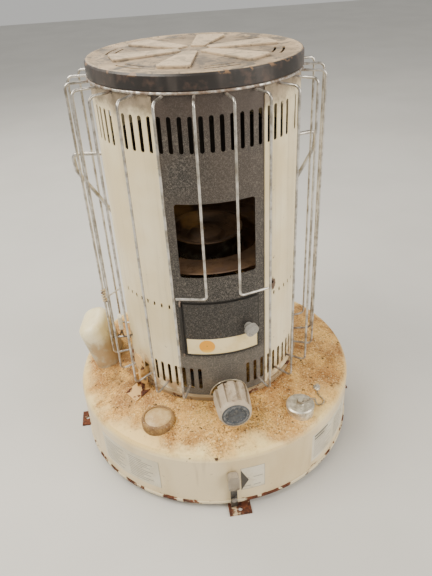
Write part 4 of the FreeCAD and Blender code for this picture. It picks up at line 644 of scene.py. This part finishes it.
def labels():
    """Two instruction labels and the lever's label with its pointer, with bars in place of words."""
    paper = moulded("label_paper", "dcd3bf", "cfc4ab", "b3a283", 200, 0.5, 0.35)
    ink = moulded("label_ink", "a09a8d", "8f897c", "b8ae98", 200, 0.6, 0.5)
    mark = moulded("label_mark", "35322e", "4a453f", "6e675b", 200, 0.6, 0.5)
    label("label_left", (-58.5, -29.5), 0.030, 0.088, paper, ink, 11, False)
    label("label_right", (32.0, 61.0), 0.030, 0.088, paper, ink, 12, False)
    label("label_lever", (1.0, 10.2), 0.036, 0.083, paper, ink, 2, True)
    bm = bmesh.new()
    wall_patch(bm, 37.5, 0.034, 0.0815, 0.0845, TANK_RADIUS, 0.0003)
    wall_patch(bm, 36.4, 0.024, 0.0755, 0.0775, TANK_RADIUS, 0.0003)
    points = [polar(1.1, TANK_RADIUS + 0.0004, 0.079), polar(1.1, TANK_RADIUS + 0.0004, 0.036),
              polar(3.9, TANK_RADIUS + 0.0006, 0.0565)]
    bm.faces.new([bm.verts.new(point) for point in points])
    marks = mesh_object("label_marks", bm, mark)
    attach(marks, "heater")


def wire(name, points, radius, material, steps=6, capped=True):
    """A round strand on one smooth NURBS line through the space between its points."""
    curve = bpy.data.curves.new(name, "CURVE")
    curve.dimensions = "3D"
    curve.bevel_depth = radius
    curve.bevel_resolution = 3
    curve.use_fill_caps = capped
    spline = curve.splines.new("NURBS")
    spline.points.add(len(points) - 1)
    for point, spot in zip(spline.points, points):
        point.co = (*spot, 1.0)
    spline.order_u = 3
    spline.use_endpoint_u = True
    spline.resolution_u = steps
    curve.materials.append(material)
    made = bpy.data.objects.new(name, curve)
    bpy.context.scene.collection.objects.link(made)
    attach(made, "heater")
    return made


def lead(name, points, material):
    """A thin insulated lead."""
    made = wire(name, points, 0.0013, material, steps=12, capped=False)
    return made


def trims():
    """The bead round the arch over the knob's shaft, and the twist of tie wire on the left of the guard."""
    strand = 0.0011
    bead = zinc("arch_bead", "cfc4ad", "9d907a", 0.6)
    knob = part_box("wick_knob")
    middle, radius, face = (knob[0][0] + knob[1][0]) / 2, 0.028, CASING_RADIUS + 0.0006
    points = []
    arch_steps = 24
    for step in range(arch_steps + 1):
        angle = math.pi * step / arch_steps
        across = middle + radius * math.cos(angle)
        points.append((across, -math.sqrt(face ** 2 - across ** 2), CASING_LOW + radius * math.sin(angle)))
    wire("arch_bead", points, strand, bead)
    tie = zinc("tie_wire", "e3ddd0", "b9ad98", 0.5)
    wire("guard_tie", [polar(-51.6, GUARD_RADIUS + 0.002, 0.337), polar(-54, GUARD_RADIUS - 0.003, 0.330),
                       polar(-67, GUARD_RADIUS - 0.006, 0.302), polar(-79, GUARD_RADIUS - 0.004, 0.276),
                       polar(-84.5, GUARD_RADIUS + 0.001, 0.268)], strand, tie)
    turns = []
    turn_steps, rise = 8, 0.0006
    for step in range(5 * turn_steps + 1):
        angle = math.tau * step / turn_steps
        middle = polar(-82.5, GUARD_RADIUS, 0.262 + rise * step)
        outward = Vector((math.cos(angle), math.sin(angle), 0))
        turns.append(middle + outward * (0.0030 + 0.0004 * math.sin(step)))
    wire("guard_tie_wrap", turns, strand, rusty_iron("tie_rust", "d0bb96", 0.44))


def plug(material):
    """The white two-part connector between the leads, with a groove round its waist."""
    azimuth, distance, corner = -84.2, 0.150, 0.0011
    turned = Matrix.Rotation(math.radians(azimuth - 90), 4, "Z")
    place = Matrix.Translation(polar(azimuth, distance, 0)) @ turned
    bm = bmesh.new()
    # each level's height, and its share of the full size
    levels = ((0.204, 0.86), (0.206, 1.0), (0.2135, 1.0), (0.214, 0.9),
              (0.2148, 0.9), (0.2153, 1.0), (0.2258, 1.0), (0.228, 0.84))
    rings = []
    for height, share in levels:
        half_x, half_y = 0.0035 * share, 0.0065 * share
        ring = []
        for side_x, side_y, start in ((1, 1, 0), (-1, 1, 1), (-1, -1, 2), (1, -1, 3)):
            for step in range(4):
                angle = math.pi / 2 * (start + step / 3)
                spot = Vector((side_x * (half_x - corner) + corner * math.cos(angle),
                               side_y * (half_y - corner) + corner * math.sin(angle), height))
                ring.append(bm.verts.new(place @ spot))
        rings.append(ring)
    count = len(rings[0])
    for lower, upper in zip(rings, rings[1:]):
        for index in range(count):
            after = (index + 1) % count
            bm.faces.new((lower[index], lower[after], upper[after], upper[index]))
    bm.faces.new(list(reversed(rings[0])))
    bm.faces.new(rings[-1])
    made = mesh_object("lead_plug", bm, material, smooth=False)
    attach(made, "heater")
    return made


def leads():
    """Leads from the battery case to the plug and from the plug into the cabinet."""
    jacket = moulded("lead_jacket", "4b3c2e", "382c22", "8d765a", 700, 0.6)
    white = moulded("plug_white", "ece6d4", "dcd3bb", "9a8564", 400, 0.45, 0.5)
    block = plug(white)
    supply = [polar(-93.5, 0.1718, 0.168), polar(-92, 0.160, 0.173), polar(-88, 0.151, 0.186),
              polar(-85.8, 0.150, 0.204)]
    feed = [polar(-82.6, 0.150, 0.204), polar(-82.2, 0.150, 0.196), polar(-79, 0.147, 0.193),
            polar(-77, 0.133, 0.201), polar(-74, 0.122, 0.190), polar(-70, 0.118, 0.168)]
    first = lead("lead_supply", supply, jacket)
    second = lead("lead_feed", feed, jacket)
    for piece in (first, second, block):
        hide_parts("igniter_leads")


# ---------------------------------------------------------------- stage, light and camera

def floor():
    """Plain pale floor."""
    bpy.ops.mesh.primitive_plane_add(size=12)
    made = bpy.context.object
    made.name = "floor"
    look = Look("floor_paper")
    colour = look.mix(look.fade(look.noise(3, 3), 0.3, 0.7), tint("cfcdc8"), tint("c9c7c2"))
    made.data.materials.append(look.done(colour, 0.85))


def area(name, spot, aim, size, power, colour):
    """A soft rectangular lamp."""
    lamp = bpy.data.lights.new(name, "AREA")
    lamp.shape = "RECTANGLE"
    lamp.size, lamp.size_y = size
    lamp.energy = power
    lamp.color = colour
    made = bpy.data.objects.new(name, lamp)
    made.location = spot
    made.rotation_euler = (Vector(aim) - Vector(spot)).to_track_quat("-Z", "Y").to_euler()
    bpy.context.scene.collection.objects.link(made)


def light():
    """Soft window light from the upper left, from behind and from the right, and a pale surround."""
    middle = (0, 0, 0.28)
    area("window", (-1.3, -0.3, 1.9), middle, (1.6, 1.3), 62, (1.0, 0.94, 0.82))
    area("back_window", (-0.7, 1.5, 1.8), middle, (1.5, 1.0), 26, (1.0, 0.95, 0.86))
    area("fill", (1.6, -1.3, 1.2), middle, (1.5, 1.5), 48, (1.0, 0.94, 0.84))
    world = bpy.data.worlds.new("surround")
    world.use_nodes = True
    world.node_tree.nodes["Background"].inputs[0].default_value = (0.84, 0.83, 0.80, 1)
    world.node_tree.nodes["Background"].inputs[1].default_value = 0.66
    bpy.context.scene.world = world


def camera():
    """Camera at the angle and distance that the heater is seen from."""
    heading, pitch, roll = math.radians(6.8), math.radians(32.7), math.radians(-3.27)
    level = math.cos(pitch)
    ahead = Vector((math.sin(heading) * level, math.cos(heading) * level, -math.sin(pitch)))
    right = Vector((math.cos(heading), -math.sin(heading), 0))
    up = right.cross(ahead)
    leaned_right = math.cos(roll) * right + math.sin(roll) * up
    leaned_up = -math.sin(roll) * right + math.cos(roll) * up
    lens = bpy.data.cameras.new("camera")
    lens.sensor_fit = "VERTICAL"
    lens.sensor_height = 36
    lens.lens = 34.7
    made = bpy.data.objects.new("camera", lens)
    turn = Matrix((leaned_right, leaned_up, -ahead)).transposed().to_4x4()
    made.matrix_world = Matrix.Translation((-0.0796, -0.7573, 0.7381)) @ turn
    bpy.context.scene.collection.objects.link(made)
    bpy.context.scene.camera = made


camera()
leads()
paint_frame()
labels()
trims()
floor()
light()
